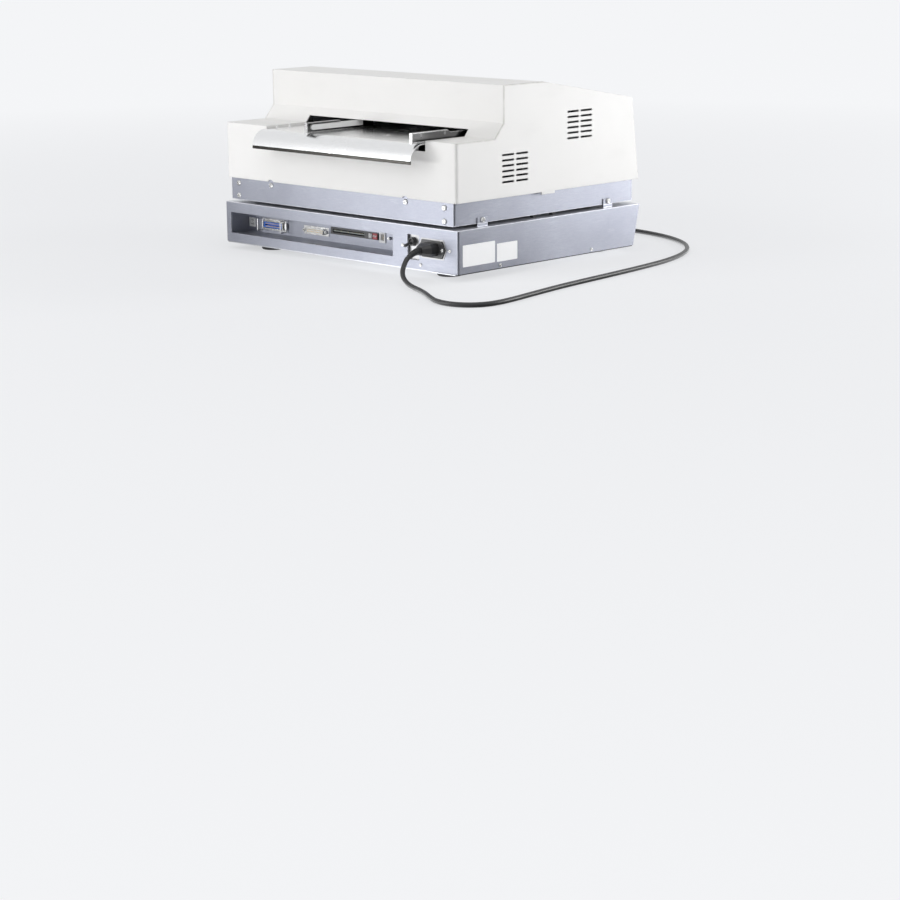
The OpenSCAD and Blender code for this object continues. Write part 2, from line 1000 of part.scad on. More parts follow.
module inlet() {
    color(black) {
        difference() {
            union() {
                across_y(x_inlet, z_inlet, y_back, y_back + inlet_t)
                    polygon([[-inlet_w / 2, 0], [-inlet_w / 2 * inlet_flat_share, -inlet_h / 2],
                        [inlet_w / 2 * inlet_flat_share, -inlet_h / 2], [inlet_w / 2, 0],
                        [inlet_w / 2 * inlet_flat_share, inlet_h / 2],
                        [-inlet_w / 2 * inlet_flat_share, inlet_h / 2]]);
                block_y(x_inlet, z_inlet, inlet_body_w, inlet_body_h, y_back - inlet_deep, y_back);
            }
            block_y(x_inlet, z_inlet, mouth_w, mouth_h, y_back + inlet_t - mouth_deep, y_back + inlet_t + over);
        }
        blades(blade_w, blade_h, y_back + inlet_t - mouth_deep - over, y_back + inlet_t - mouth_deep + blade_l);
    }
}

y_plug = y_back + inlet_t;
y_neck = y_plug + plug_l;
y_relief = y_neck + neck_l;

// The relief's centre and droop after the share s of its length
function relief_at(s) = [x_inlet, y_relief + relief_l * s * cos(relief_drop * s / 2),
    z_inlet - relief_l * s * sin(relief_drop * s / 2)];
lead_start = relief_at(1);

// Stations along the relief, each a share of its length and a radius: ribs with grooves between them
function relief_radius(s) = relief_r + (relief_tip - relief_r) * s;
relief_stations = concat([[0, relief_r]], [for (i = [1 : relief_steps - 1]) let (s = i / relief_steps)
    each [[s - rib_groove / relief_l, relief_radius(s)], [s - rib_groove / relief_l, relief_radius(s) * rib_share],
        [s, relief_radius(s) * rib_share], [s, relief_radius(s)]]], [[1, relief_tip]]);

module plug() {
    color(black) {
        difference() {
            block_y(x_inlet, z_inlet, mouth_w - 2 * plug_gap, mouth_h - 2 * plug_gap,
                y_plug - mouth_deep + plug_gap, y_plug);
            blades(blade_w + 2 * plug_gap, blade_h + 2 * plug_gap, y_plug - mouth_deep - over,
                y_plug - mouth_deep + blade_l + plug_gap);
        }
        across_y(x_inlet, z_inlet, y_plug, y_neck)
            bevelled(plug_w, plug_h, plug_bevel);
        translate([x_inlet, y_neck, z_inlet])
            rotate([-90, 0, 0])
                linear_extrude(neck_l, scale = [neck_w / plug_w, neck_h / plug_h])
                    bevelled(plug_w, plug_h, plug_bevel);
        sweep([for (s = relief_stations) relief_at(s[0])],
            [for (s = relief_stations) [0, cos(relief_drop * s[0]), -sin(relief_drop * s[0])]],
            [for (s = relief_stations) s[1]], relief_sides);
    }
}

// The lead's tube: rings square to the route, joined into one closed surface

function unit(v) = v / norm(v);
function at(points, i) = points[max(0, min(len(points) - 1, i))];
function heading(points, i) = unit(at(points, i + 1) - at(points, i - 1));
function side_of(d) = unit(cross(d, [0, 0, 1]));
function ring(centre, d, r, sides) = [for (k = [0 : sides - 1])
    centre + r * (cos(360 * (k + 0.5) / sides) * side_of(d) + sin(360 * (k + 0.5) / sides) * cross(side_of(d), d))];

// A smooth curve through the points, n short steps to each
function curve_point(p, i, t) = 0.5 * (2 * at(p, i) + (at(p, i + 1) - at(p, i - 1)) * t
    + (2 * at(p, i - 1) - 5 * at(p, i) + 4 * at(p, i + 1) - at(p, i + 2)) * t * t
    + (3 * at(p, i) - at(p, i - 1) - 3 * at(p, i + 1) + at(p, i + 2)) * t * t * t);
function curve(p, n) = concat([for (i = [0 : len(p) - 2]) for (k = [0 : n - 1]) curve_point(p, i, k / n)],
    [p[len(p) - 1]]);

module sweep(points, headings, radii, sides) {
    n = len(points);
    rings = [for (i = [0 : n - 1]) each ring(points[i], headings[i], radii[i], sides)];
    walls = [for (i = [0 : n - 2]) for (k = [0 : sides - 1]) for (half = [0, 1])
        half == 0
            ? [i * sides + k, i * sides + (k + 1) % sides, (i + 1) * sides + (k + 1) % sides]
            : [i * sides + k, (i + 1) * sides + (k + 1) % sides, (i + 1) * sides + k]];
    ends = [for (k = [1 : sides - 2]) for (half = [0, 1])
        half == 0 ? [0, k + 1, k] : [(n - 1) * sides, (n - 1) * sides + k, (n - 1) * sides + k + 1]];
    polyhedron(rings, concat(walls, ends));
}

lead_first = [0, cos(relief_drop), -sin(relief_drop)];
lead_route = concat([lead_start, lead_start + 2 * lead_r * lead_first], lead_points);
lead_curve = curve(lead_route, 3);
lead_last = unit([1, 0, 0]);

module lead_free() {
    n = len(lead_curve);
    color(black)
        sweep(lead_curve, [for (i = [0 : n - 1])
            i < 2 ? lead_first : i > n - 3 ? lead_last : heading(lead_curve, i)],
            [for (i = [0 : n - 1]) lead_r], lead_sides);
}

// The coil: two layers, spiralling in below and out above

coil_in = lead_points[len(lead_points) - 1];
coil_pitch = 2 * lead_r + coil_gap;
coil_outer = coil_r + coil_pitch * (coil_turns - 1) / 2 + coil_pitch / 2;
coil_centre = coil_in + [coil_tail, coil_outer, 0];
coil_n = coil_turns * coil_steps;

// Radius and height after i steps of the spiral in, then out
function coil_radius(i) = coil_outer - coil_pitch / coil_steps * (i <= coil_n ? i : 2 * coil_n - i);
function climb(i) = max(0, min(1, (i - coil_n + coil_steps / 4) / (coil_steps / 2)));
function coil_height(i) = coil_pitch * climb(i) * climb(i) * (3 - 2 * climb(i));
function coil_point(i) = coil_centre + [coil_radius(i) * sin(360 * i / coil_steps),
    -coil_radius(i) * cos(360 * i / coil_steps), coil_height(i)];
coil_path = concat([coil_in, coil_in + [2 * lead_r, 0, 0]], [for (i = [0 : 2 * coil_n]) coil_point(i)],
    [coil_point(2 * coil_n) + [coil_outer, 0, 0]]);
coil_end = coil_path[len(coil_path) - 1];

// Least gap of the coil to itself, between steps over half a turn apart
coil_gaps = [for (i = [0 : len(coil_path) - 1]) for (k = [i + coil_steps / 2 : 1 : len(coil_path) - 1])
    norm(coil_path[i] - coil_path[k]) - 2 * lead_r];
echo(coil_least_gap = min(coil_gaps));

module lead_coil() {
    n = len(coil_path);
    color(black)
        sweep(coil_path, [for (i = [0 : n - 1])
            i < 2 || i > n - 3 ? [1, 0, 0] : heading(coil_path, i)],
            [for (i = [0 : n - 1]) lead_r], coil_sides);
}

module wall_plug() {
    color(black)
        translate(coil_end)
            rotate([90, 0, 90]) {
                cylinder(h = wall_neck, r1 = lead_r + fit, r2 = relief_r, $fn = 24);
                translate([0, 0, wall_neck])
                    linear_extrude(wall_l)
                        bevelled(wall_w, 2 * coil_end[2] - 2 * lead_floor, wall_bevel);
                for (side = [-1, 1])
                    translate([side * prong_pitch / 2, 0, wall_neck + wall_l])
                        cylinder(h = prong_l, r = prong_r, $fn = 24);
            }
}

// Power supply and main board

module power_supply() {
    x0 = x_side + sheet + psu_side;
    y1 = y_back - psu_back;
    color(steel)
        difference() {
            slab(x0, x0 + psu_w, y1 - psu_l, y1, z_box, z_box + psu_h);
            for (i = [0 : slot_rows - 1])
                slab(x0 + psu_side, x0 + psu_w - psu_side, y1 - slot_pitch * (i + 2) - slot_w,
                    y1 - slot_pitch * (i + 2), z_box + psu_h - sheet, z_box + psu_h + over);
        }
}

module main_board() {
    x0 = x_side + sheet + psu_side + psu_w + board_gap;
    x1 = -x_side - sheet - board_side;
    y1 = y_back - board_back;
    z0 = z_box + board_lift;
    color([0.12, 0.36, 0.20]) {
        slab(x0, x1, y1 - board_l, y1, z0, z0 + board_t);
        for (x = [x0 + board_side, x1 - board_side])
            for (share = post_shares)
                translate([x, y1 - board_l * share, z_box])
                    cylinder(h = board_lift, r = post_r, $fn = 24);
        for (i = [0 : 2])
            for (k = [0 : 1])
                translate([x0 + (x1 - x0) * (i + 1) / 4, y1 - board_l * (k + 1) / 3, z0 + board_t])
                    translate([-chip_l / 2, -chip_l / 2, 0])
                        cube([chip_l, chip_l, chip_h]);
        for (i = [0 : 3])
            translate([x0 + chip_edge + i * chip_edge, y1 - board_l + chip_edge, z0 + board_t])
                cylinder(h = cap_h, r = cap_r, $fn = 32);
    }
}

// Deck

module deck_pads() {
    color(black) {
        for (side = [-1, 1])
            for (place = pad_places)
                translate([side * (-x_side - pad_side) - pad_w / 2, y_back - place - pad_l / 2, z_top])
                    cube([pad_w, pad_l, deck_gap]);
        for (side = [-1, 1])
            for (place = pad_small_places)
                translate([side * (-x_side - pad_edge) - pad_small / 2, y_back - place - pad_small / 2, z_top])
                    cube([pad_small, pad_small, deck_gap]);
    }
}

module deck_pan() {
    color(blue_grey)
        difference() {
            slab(-deck_w / 2, deck_w / 2, y_deck_front, y_deck_seam, z_deck, z_cover + deck_tuck);
            slab(-deck_w / 2 + sheet, deck_w / 2 - sheet, y_deck_front + sheet, y_deck_seam + over,
                z_floor, z_cover + deck_tuck + over);
        }
}

module deck_rear() {
    color(blue_grey) {
        slab(-deck_w / 2, deck_w / 2, y_deck - sheet, y_deck, z_deck, z_cover + deck_tuck);
        slab(-deck_w / 2, deck_w / 2, y_deck_seam, y_deck - sheet, z_deck, z_floor);
        for (side = [-1, 1])
            translate([side * (deck_w / 2 - sheet * 3 / 2), 0, 0])
                slab(-sheet / 2, sheet / 2, y_deck - flange_d, y_deck - sheet, z_floor, z_cover + deck_tuck);
    }
}

module machine_screws() {
    color(steel) {
        for (side = [-1, 1]) {
            for (row = [0, 1])
                head_back(side * (deck_w / 2 - deck_screw_side), y_deck,
                    z_cover - deck_screw_top - row * deck_screw_pitch, head_r, head_h);
            for (place = ear_places)
                head_side(side * (deck_w / 2 + sheet), y_back - place, z_deck + side_screw_up,
                    head_r, head_h, side);
            for (place = base_screw_places)
                head_side(side * -x_side, y_back - place, z_box + base_screw_up, small_r, small_h, side);
            head_back(x_inlet + side * inlet_screw_w / 2, y_back + inlet_t, z_inlet, small_r, small_h);
        }
        for (x = cover_screw_x)
            head_back(x, y_deck, z_cover - cover_screw_drop, head_r, head_h);
        head_back(x_side + earth_side, y_back, z_inlet, small_r, small_h);
        head_back(x_side + switch_side + switch_w + bracket_screw_side, y_back, z_inlet, small_r, small_h);
        head_back(x_side + switch_side - bracket_lap, y_back, z_box + base_screw_up + small_r, small_r, small_h);
        head_back(x_post, y_port, z_up, post_r, post_h);
        for (place = pin_places)
            translate([feed_x + feed_w / 2 - pin_side, y_back - place, z_tray])
                pan_head(pin_r, pin_h);
    }
}

// Cover

cover_outline = [[y_cover, z_cover], [y_cover, z_ledge], [y_ledge, z_ledge], [y_hood, z_step],
    [y_hood, z_roof], [y_apex, z_roof], [y_brow, z_brow], [y_front, z_cover]];

// Half the turn of the outline at each bend sets how far the inner corner steps in
step_a = atan(step_rise / step_run);
cover_inner = [[y_cover - cover_t, z_cover - over], [y_cover - cover_t, z_ledge - cover_t],
    [y_ledge - cover_t * tan(step_a / 2), z_ledge - cover_t],
    [y_hood - cover_t, z_step - cover_t * tan((90 - step_a) / 2)],
    [y_hood - cover_t, z_roof - cover_t], [y_apex + cover_t * tan(slope_a / 2), z_roof - cover_t],
    [y_brow + cover_t, z_brow - cover_t / cos(slope_a) + cover_t * tan(slope_a)],
    [y_front + cover_t / cos(lean_a), z_cover], [y_front + cover_t / cos(lean_a), z_cover - over]];

module corner_posts(grow) {
    w = cover_w / 2 - grow;
    r = corner_r - grow;
    y0 = y_front + grow;
    y1 = y_cover - grow;
    translate([0, 0, z_cover - over])
        linear_extrude(cover_h + 2 * over) {
            translate([-w + r, y0 - over])
                square([2 * w - 2 * r, y1 - y0 + over]);
            translate([-w, y0 - over])
                square([2 * w, y1 - y0 - r + over]);
            for (side = [-1, 1])
                translate([side * (w - r), y1 - r])
                    circle(r);
        }
}

module cover_vents() {
    for (group = [vent_low, vent_high])
        for (column = [0 : vent_columns - 1])
            for (row = [0 : vent_rows - 1])
                for (side = [-1, 1])
                    translate([side * cover_w / 2, y_back - group[0] - vent_l / 2 - column * vent_step,
                        z_cover + group[1] - row * vent_pitch])
                        rotate([0, 0, side * 90])
                            translate([0, 2 * over, 0])
                                rounded_slot(vent_l, vent_h, 4 * over);
}

module cover_shell() {
    difference() {
        intersection() {
            along_x(-cover_w / 2, cover_w / 2)
                polygon(cover_outline);
            corner_posts(0);
        }
        intersection() {
            along_x(-cover_w / 2 + cover_t, cover_w / 2 - cover_t)
                polygon(cover_inner);
            corner_posts(cover_t);
        }
    }
    // Hems that close the sides down to the deck
    for (side = [-1, 1])
        translate([side * (deck_w / 2 + (cover_w / 2 - cover_t - deck_w / 2) / 2), 0, 0])
            slab(-(cover_w - 2 * cover_t - deck_w) / 4, (cover_w - 2 * cover_t - deck_w) / 4,
                y_front + cover_t / cos(lean_a), y_deck_seam, z_cover, z_cover + hem_t);
    // Flanges folded down at the notch's two sides
    for (side = [-1, 1])
        translate([feed_x + side * (feed_w + cover_t) / 2, 0, 0])
            slab(-cover_t / 2, cover_t / 2, y_ledge, y_cover - cover_t, z_ledge - notch_flange,
                z_ledge - cover_t);
    // Finger tab on the side's lower edge
    slab(-cover_w / 2, -cover_w / 2 + cover_t, y_back - tab_back - tab_w, y_back - tab_back,
        z_cover - tab_h, z_cover);
    // Lugs and pins for the lid
    on_slope()
        for (side = [-1, 1]) {
            translate([side * (lid_w / 2 + lug_t / 2 + lid_gap), -lid_start - axis_in, 0]) {
                translate([-lug_t / 2, -ear_r, -axis_down])
                    cube([lug_t, 2 * ear_r, axis_down - cover_t]);
                translate([-lug_t / 2, 0, -axis_down])
                    rotate([0, 90, 0])
                        cylinder(h = lug_t, r = ear_r);
                translate([0, 0, -axis_down])
                    rotate([0, side * -90, 0])
                        cylinder(h = lug_t / 2 + 2 * lid_gap + ear_t, r = hinge_pin);
            }
        }
}

module cover() {
    color(off_white)
        difference() {
            cover_shell();
            slab(feed_x - feed_w / 2, feed_x + feed_w / 2, y_hood, y_back + over,
                z_ledge - notch_drop, z_ledge + notch_rise);
            cover_vents();
            for (x = cover_screw_x)
                rod_y(x, z_cover - cover_screw_drop, y_deck, y_back + over, cover_notch_r + cover_screw_drop / 2);
            on_slope()
                translate([-lid_w / 2, -lid_start - lid_l, -cover_t - over / 2])
                    cube([lid_w, lid_l, cover_t + over]);
            slab(feed_x - feed_w / 2, feed_x + feed_w / 2, y_front - over, y_brow + 2 * cover_t,
                z_tray - slot_low, z_tray + slot_high);
            on_brow()
                translate([panel_x - panel_w / 2 + panel_lap, -over, panel_up + panel_lap])
                    cube([panel_w - 2 * panel_lap, cover_t + 2 * over, panel_h - 2 * panel_lap]);
        }
}

// Lid over the ribbon and the print head

module lid() {
    w = lid_w - 2 * lid_gap;
    l = lid_l - 2 * lid_gap;
    color(off_white)
        on_slope()
            translate([0, -lid_start - lid_gap, 0])
                difference() {
                    union() {
                        translate([-w / 2, -l, -cover_t])
                            cube([w, l, cover_t]);
                        for (side = [-1, 1])
                            translate([side * (w / 2 - cover_t / 2) - cover_t / 2, -l, -lid_rim])
                                cube([cover_t, l - axis_in - ear_r, lid_rim]);
                        translate([-w / 2, -l, -lid_rim])
                            cube([w, cover_t, lid_rim]);
                        translate([-pull_w / 2, -l, 0])
                            cube([pull_w, pull_d, pull_h]);
                        for (side = [-1, 1])
                            translate([side * (w / 2 - ear_t / 2) - ear_t / 2, -axis_in + lid_gap, 0]) {
                                translate([0, -ear_r, -axis_down])
                                    cube([ear_t, 2 * ear_r, axis_down]);
                                translate([0, 0, -axis_down])
                                    rotate([0, 90, 0])
                                        cylinder(h = ear_t, r = ear_r);
                            }
                    }
                    translate([-w, -axis_in + lid_gap, -axis_down])
                        rotate([0, 90, 0])
                            cylinder(h = 2 * w, r = hinge_pin + run);
                }
}

// Media tray with its curved lip, and the plate before the platen

x_left = feed_x - frame_clear / 2;
x_right = feed_x + frame_clear / 2;
tray_w = feed_w - 1;
y_lip = y_back + lip_start;
y_feed = y_back - feed_in;
y_platen = y_back - platen_in;
z_feed = z_tray - feed_level - feed_r;
z_platen = z_tray - feed_level - platen_r;
z_pinch = z_tray + media_room + pinch_r;

module media_tray() {
    color(steel) {
        along_x(feed_x - tray_w / 2, feed_x + tray_w / 2) {
            translate([y_feed + feed_r + tray_edge, z_tray - tray_t])
                square([y_lip - y_feed - feed_r - tray_edge, tray_t]);
            intersection() {
                translate([y_lip, z_tray - lip_r])
                    difference() {
                        circle(lip_r, $fn = 120);
                        circle(lip_r - tray_t, $fn = 120);
                    }
                translate([y_lip, z_tray - lip_r])
                    square(lip_r + over);
            }
            translate([y_lip + lip_r - tray_t, z_tray - lip_r - lip_tail])
                square([tray_t, lip_tail]);
        }
        slab(x_left, x_right, y_feed + feed_r + tray_edge, y_back - wide_from, z_tray - tray_t, z_tray);
        slab(x_left, x_right, y_platen + platen_r + tray_edge, y_feed - feed_r - tray_edge,
            z_tray - tray_t, z_tray);
        for (x = [x_left, x_right - sleeve_end / 2])
            slab(x, x + sleeve_end / 2, y_feed - feed_r - 2 * tray_edge, y_feed + feed_r + 2 * tray_edge,
                z_tray - tray_t, z_tray);
    }
}

module tray_stay() {
    color(steel) {
        slab(feed_x - stay_w / 2, feed_x + stay_w / 2, y_deck - stay_in - sheet, y_deck - stay_in,
            z_floor, z_tray - tray_t);
        slab(feed_x - stay_w / 2, feed_x + stay_w / 2, y_deck - stay_in - stay_flange, y_deck - stay_in,
            z_floor, z_floor + sheet);
        slab(feed_x - stay_w / 2, feed_x + stay_w / 2, y_deck - stay_in - stay_flange, y_deck - stay_in,
            z_tray - tray_t - sheet, z_tray - tray_t);
    }
}

// Side guides on their rod

y_rod = y_back - rod_in;
z_rod = z_tray + rod_up;
x_guide_right = feed_x - feed_w / 2 + guide_right_in;
x_guide_left = feed_x + feed_w / 2 - guide_left_in;

module guide(x, tail) {
    z0 = z_tray + guide_gap;
    y_in = y_back - guide_in;
    y_step = y_back - guide_step_in;
    outline = [[y_back + tail, z0], [y_back + tail, z0 + guide_h], [y_step, z0 + guide_h],
        [y_step - guide_slope, z0 + guide_step_up], [y_in, z0 + guide_step_up],
        [y_in, z_rod], [y_in - guide_arm, z_rod], [y_in - guide_arm, z0]];
    difference() {
        union() {
            along_x(x, x + plate)
                polygon(outline);
            slab(x - guide_fold, x + plate, y_back + tail - plate, y_back + tail, z0, z0 + guide_h);
            slab(x - guide_fold, x + plate, y_step, y_back + tail, z0 + guide_h - plate, z0 + guide_h);
            slab(x - guide_fold, x + plate, y_in, y_back + tail, z0, z0 + plate);
            rod_x(x + plate - collar_l, x + plate, y_rod, z_rod, collar_r);
        }
        rod_x(x - collar_l, x + 2 * plate, y_rod, z_rod, rod_r + run);
    }
}

module guide_rod() {
    color(steel)
        rod_x(x_left - frame_t, x_right + frame_t, y_rod, z_rod, rod_r);
}

module guide_right() {
    color(steel) {
        guide(x_guide_right, guide_right_over);
        for (place = rivet_places)
            head_side(x_guide_right, y_back - place, z_tray + rivet_up, rivet_r, rivet_h, -1);
    }
}

module guide_left() {
    color(steel)
        guide(x_guide_left, guide_left_over);
}

module guide_strip() {
    y0 = y_back - strip_in;
    y1 = y_back + guide_left_over - strip_start;
    z = z_tray + guide_gap + strip_up + strip_h / 2;
    color(white)
        translate([x_guide_left - strip_t, 0, 0]) {
            slab(0, strip_t, y0, y1 - strip_h / 2, z - strip_h / 2, z + strip_h / 2);
            rod_x(0, strip_t, y1 - strip_h / 2, z, strip_h / 2);
        }
}

// Exit chute with its tear edge

module exit_chute() {
    z0 = z_tray - chute_drop - chute_t;
    y0 = y_front - chute_over;
    y1 = y_platen - platen_r - tray_edge;
    teeth = floor(tray_w / tear_pitch);
    start = feed_x - teeth * tear_pitch / 2;
    color(steel)
        translate([0, 0, z0])
            linear_extrude(chute_t) {
                translate([feed_x - tray_w / 2, y0 + tear_h])
                    square([tray_w, y1 - y0 - tear_h]);
                translate([x_left, y_back - frame_front])
                    square([frame_clear, y1 - y_back + frame_front]);
                for (i = [0 : teeth - 1])
                    polygon([[start + i * tear_pitch, y0 + tear_h], [start + (i + 0.5) * tear_pitch, y0],
                        [start + (i + 1) * tear_pitch, y0 + tear_h], [start + (i + 0.5) * tear_pitch, y0 + 2 * tear_h]]);
            }
}

// Side frames

z_frame = z_tray + frame_top;
z_frame_low = z_tray + frame_low;
y_pivot = y_back - pivot_in;
z_pivot = z_tray + pivot_up;
y_motor = y_back - motor_in;
z_motor = z_tray - motor_down;
y_supply = y_back - supply_in;
z_supply = z_tray + supply_up;
y_takeup = y_back - takeup_in;
z_takeup = z_tray + takeup_up;

module frame_outline() {
    difference() {
        polygon([[y_back - frame_back, z_floor], [y_back - frame_back, z_frame],
            [y_back - frame_crest, z_frame], [y_back - frame_front, z_frame_low + frame_low / 4],
            [y_back - frame_front, z_floor]]);
        for (place = frame_holes)
            translate([y_back - place, z_tray - frame_hole_up])
                circle(frame_hole_r);
        translate([y_rod, z_rod])
            circle(rod_r + run);
        translate([y_feed, z_feed])
            circle(shaft_r + run);
        translate([y_platen, z_platen])
            circle(shaft_r + run);
        translate([y_feed, z_pinch])
            circle(thin_r + run);
        translate([y_pivot, z_pivot])
            circle(shaft_r + run);
        translate([y_supply, z_supply])
            circle(shaft_r + run);
        translate([y_takeup, z_takeup])
            circle(shaft_r + run);
    }
}

module frame_left() {
    color(steel)
        along_x(x_left - frame_t, x_left)
            frame_outline();
}

module frame_right() {
    color(steel)
        difference() {
            along_x(x_right, x_right + frame_t)
                frame_outline();
            rod_x(x_right - over, x_right + frame_t + over, y_motor, z_motor, thin_r + fit);
        }
}

// Rollers and their drive

x_pulley = x_right + frame_t + pulley_gap;

module pulley(y, z, r) {
    rod_x(x_pulley, x_pulley + pulley_w, y, z, r);
    for (x = [x_pulley, x_pulley + pulley_w - pulley_rim])
        rod_x(x, x + pulley_rim, y, z, r + belt_t + pulley_rim);
}

module platen_roller() {
    color(black)
        difference() {
            rod_x(x_left + sleeve_end, x_right - sleeve_end, y_platen, z_platen, platen_r);
            rod_x(x_left, x_right, y_platen, z_platen, shaft_r + sleeve_end / 2);
        }
}

module platen_shaft() {
    color(steel) {
        rod_x(x_left - frame_t - over, x_pulley + pulley_w, y_platen, z_platen, shaft_r);
        rod_x(x_left + sleeve_end, x_right - sleeve_end, y_platen, z_platen, shaft_r + sleeve_end / 2);
        pulley(y_platen, z_platen, pulley_r);
    }
}

module feed_roller() {
    color(black) {
        rod_x(x_left - frame_t - over, x_pulley + pulley_w, y_feed, z_feed, shaft_r);
        rod_x(x_left + sleeve_end, x_right - sleeve_end, y_feed, z_feed, feed_r);
        pulley(y_feed, z_feed, pulley_r);
    }
}

module pinch_roller() {
    color(black) {
        rod_x(x_left - frame_t - over, x_right + frame_t + over, y_feed, z_pinch, thin_r);
        rod_x(x_left + sleeve_end, x_right - sleeve_end, y_feed, z_pinch, pinch_r);
    }
}

module drive_motor() {
    color(black)
        difference() {
            translate([x_right - motor_l, y_motor, z_motor])
                rotate([90, 0, 90])
                    linear_extrude(motor_l)
                        bevelled(motor_w, motor_w, motor_bevel);
            rod_x(x_right - motor_l / 2, x_right + over, y_motor, z_motor, thin_r + run);
        }
}

module motor_pulley() {
    color(steel) {
        rod_x(x_right - motor_l / 3, x_pulley + pulley_w, y_motor, z_motor, thin_r);
        pulley(y_motor, z_motor, motor_r);
    }
}

module belt_outline(grow) {
    hull() {
        translate([y_platen, z_platen])
            circle(pulley_r + grow, $fn = 32);
        translate([y_feed, z_feed])
            circle(pulley_r + grow, $fn = 32);
        translate([y_motor, z_motor])
            circle(motor_r + grow, $fn = 32);
    }
}

module drive_belt() {
    x = x_pulley + (pulley_w - belt_w) / 2;
    color(black)
        along_x(x, x + belt_w)
            difference() {
                belt_outline(fit + belt_t);
                belt_outline(fit);
            }
}

// Print head on its swinging carrier

module head_carrier() {
    color(blue_grey) {
        rod_x(x_left - frame_t - over, x_pulley + lever_t, y_pivot, z_pivot, shaft_r);
        slab(x_left + carrier_side, x_right - carrier_side, y_back - head_in - head_w - carrier_nose,
            y_pivot + shaft_r, z_tray + head_up, z_tray + head_up + carrier_t);
        slab(x_pulley, x_pulley + lever_t, y_pivot - lever_w / 2, y_pivot + lever_w / 2, z_pivot,
            z_pivot + lever_l);
    }
}

module print_head() {
    x0 = x_left + 2 * carrier_side;
    x1 = x_right - 2 * carrier_side;
    fins = floor((x1 - x0 - 2 * fin_pitch) / fin_pitch);
    color(steel)
        difference() {
            slab(x0, x1, y_back - head_in - head_w, y_back - head_in, z_tray + media_room, z_tray + head_up);
            for (i = [0 : fins])
                slab(x0 + fin_pitch + i * fin_pitch, x0 + fin_pitch + i * fin_pitch + fin_w,
                    y_back - head_in - fin_deep, y_back - head_in + over, z_tray + fin_foot, z_tray + head_up + over);
        }
}

// Ribbon rolls

module ribbon(y, z, r) {
    rod_x(x_left - frame_t - over, x_right + frame_t + over, y, z, shaft_r);
    rod_x(x_left + sleeve_end / 2, x_right - sleeve_end / 2, y, z, core_r);
    rod_x(feed_x - ribbon_w / 2, feed_x + ribbon_w / 2, y, z, r);
}

module ribbon_supply() {
    color(black)
        ribbon(y_supply, z_supply, supply_r);
}

module ribbon_takeup() {
    color(black)
        ribbon(y_takeup, z_takeup, takeup_r);
}

// Operator panel

x_keys = panel_x + panel_w * key_share;
x_display = panel_x + panel_w * display_share;
z_panel = panel_up + panel_h / 2;

function key_place(i) = [x_keys + (i % 2 - 0.5) * key_pitch, z_panel + (floor(i / 2) - 0.5) * key_pitch];

module operator_bezel() {
    color(black)
        on_brow()
            difference() {
                union() {
                    translate([panel_x - panel_w / 2, -panel_t, panel_up])
                        cube([panel_w, panel_t, panel_h]);
                    translate([panel_x - panel_w / 2 + panel_lap + fit, 0, panel_up + panel_lap + fit])
                        cube([panel_w - 2 * panel_lap - 2 * fit, panel_back, panel_h - 2 * panel_lap - 2 * fit]);
                }
                translate([x_display - display_w / 2, -panel_t - over, z_panel - display_h / 2])
                    cube([display_w, display_t + over, display_h]);
                for (i = [0 : 2])
                    translate([panel_x + panel_w * lamp_share / 5, 0, z_panel + (i - 1) * lamp_pitch])
                        rotate([90, 0, 0])
                            cylinder(h = 2 * panel_t, r = lamp_r + run, center = true);
                for (i = [0 : 3])
                    translate([key_place(i)[0], 0, key_place(i)[1]])
                        cube([key_w + 2 * fit, 4 * panel_back, key_h + 2 * fit], center = true);
            }
}

module display_window() {
    color([0.35, 0.45, 0.35, 0.8])
        on_brow() {
            translate([x_display - display_w / 2 + run, -panel_t, z_panel - display_h / 2 + run])
                cube([display_w - 2 * run, display_t, display_h - 2 * run]);
            for (i = [0 : 2])
                translate([panel_x + panel_w * lamp_share / 5, panel_t, z_panel + (i - 1) * lamp_pitch])
                    rotate([90, 0, 0]) {
                        cylinder(h = 2 * panel_t, r = lamp_r);
                        translate([0, 0, 2 * panel_t])
                            scale([1, 1, 0.5])
                                sphere(lamp_r, $fn = 24);
                    }
        }
}

module key(i) {
    color([0.75, 0.76, 0.78])
        on_brow()
            translate([key_place(i)[0], 0, key_place(i)[1]]) {
                translate([-key_w / 2, -panel_t - key_proud, -key_h / 2])
                    cube([key_w, key_proud + panel_t + panel_back + key_stop, key_h]);
                translate([-key_w / 2 - key_flange, panel_back + key_stop, -key_h / 2 - key_flange])
                    cube([key_w + 2 * key_flange, key_flange, key_h + 2 * key_flange]);
            }
}

feet();
base_plate();
box_wrap();
rear_panel();
port_pocket();
port_panel();
usb_socket();
parallel_shell();
parallel_insert();
bail_left();
bail_right();
serial_shell();
serial_insert();
card_bezel();
option_card();
dip_switch();
aux_socket();
switch_bracket();
switch_body();
power_lever();
inlet();
power_supply();
main_board();
deck_pads();
deck_pan();
deck_rear();
machine_screws();
cover();
media_tray();
tray_stay();
frame_left();
frame_right();
guide_rod();
guide_right();
guide_left();
guide_strip();
exit_chute();
lid();
operator_bezel();
display_window();
key(0);  // key_1
key(1);  // key_2
key(2);  // key_3
key(3);  // key_4
platen_roller();
platen_shaft();
feed_roller();
pinch_roller();
drive_motor();
motor_pulley();
drive_belt();
head_carrier();
print_head();
ribbon_supply();
ribbon_takeup();
plug();
lead_free();
lead_coil();
wall_plug();
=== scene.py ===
"""Looks of the label printer: finishes for its CAD nodes, the pieces that ride on them, and the stage.

Row frame, in metres: +Z up, the connectors and the media lip face +Y, the exit is at -Y.
"""

import json
import math

import bmesh
import bpy
from bpy.props import FloatProperty, FloatVectorProperty, IntProperty, PointerProperty
from mathutils import Matrix, Vector


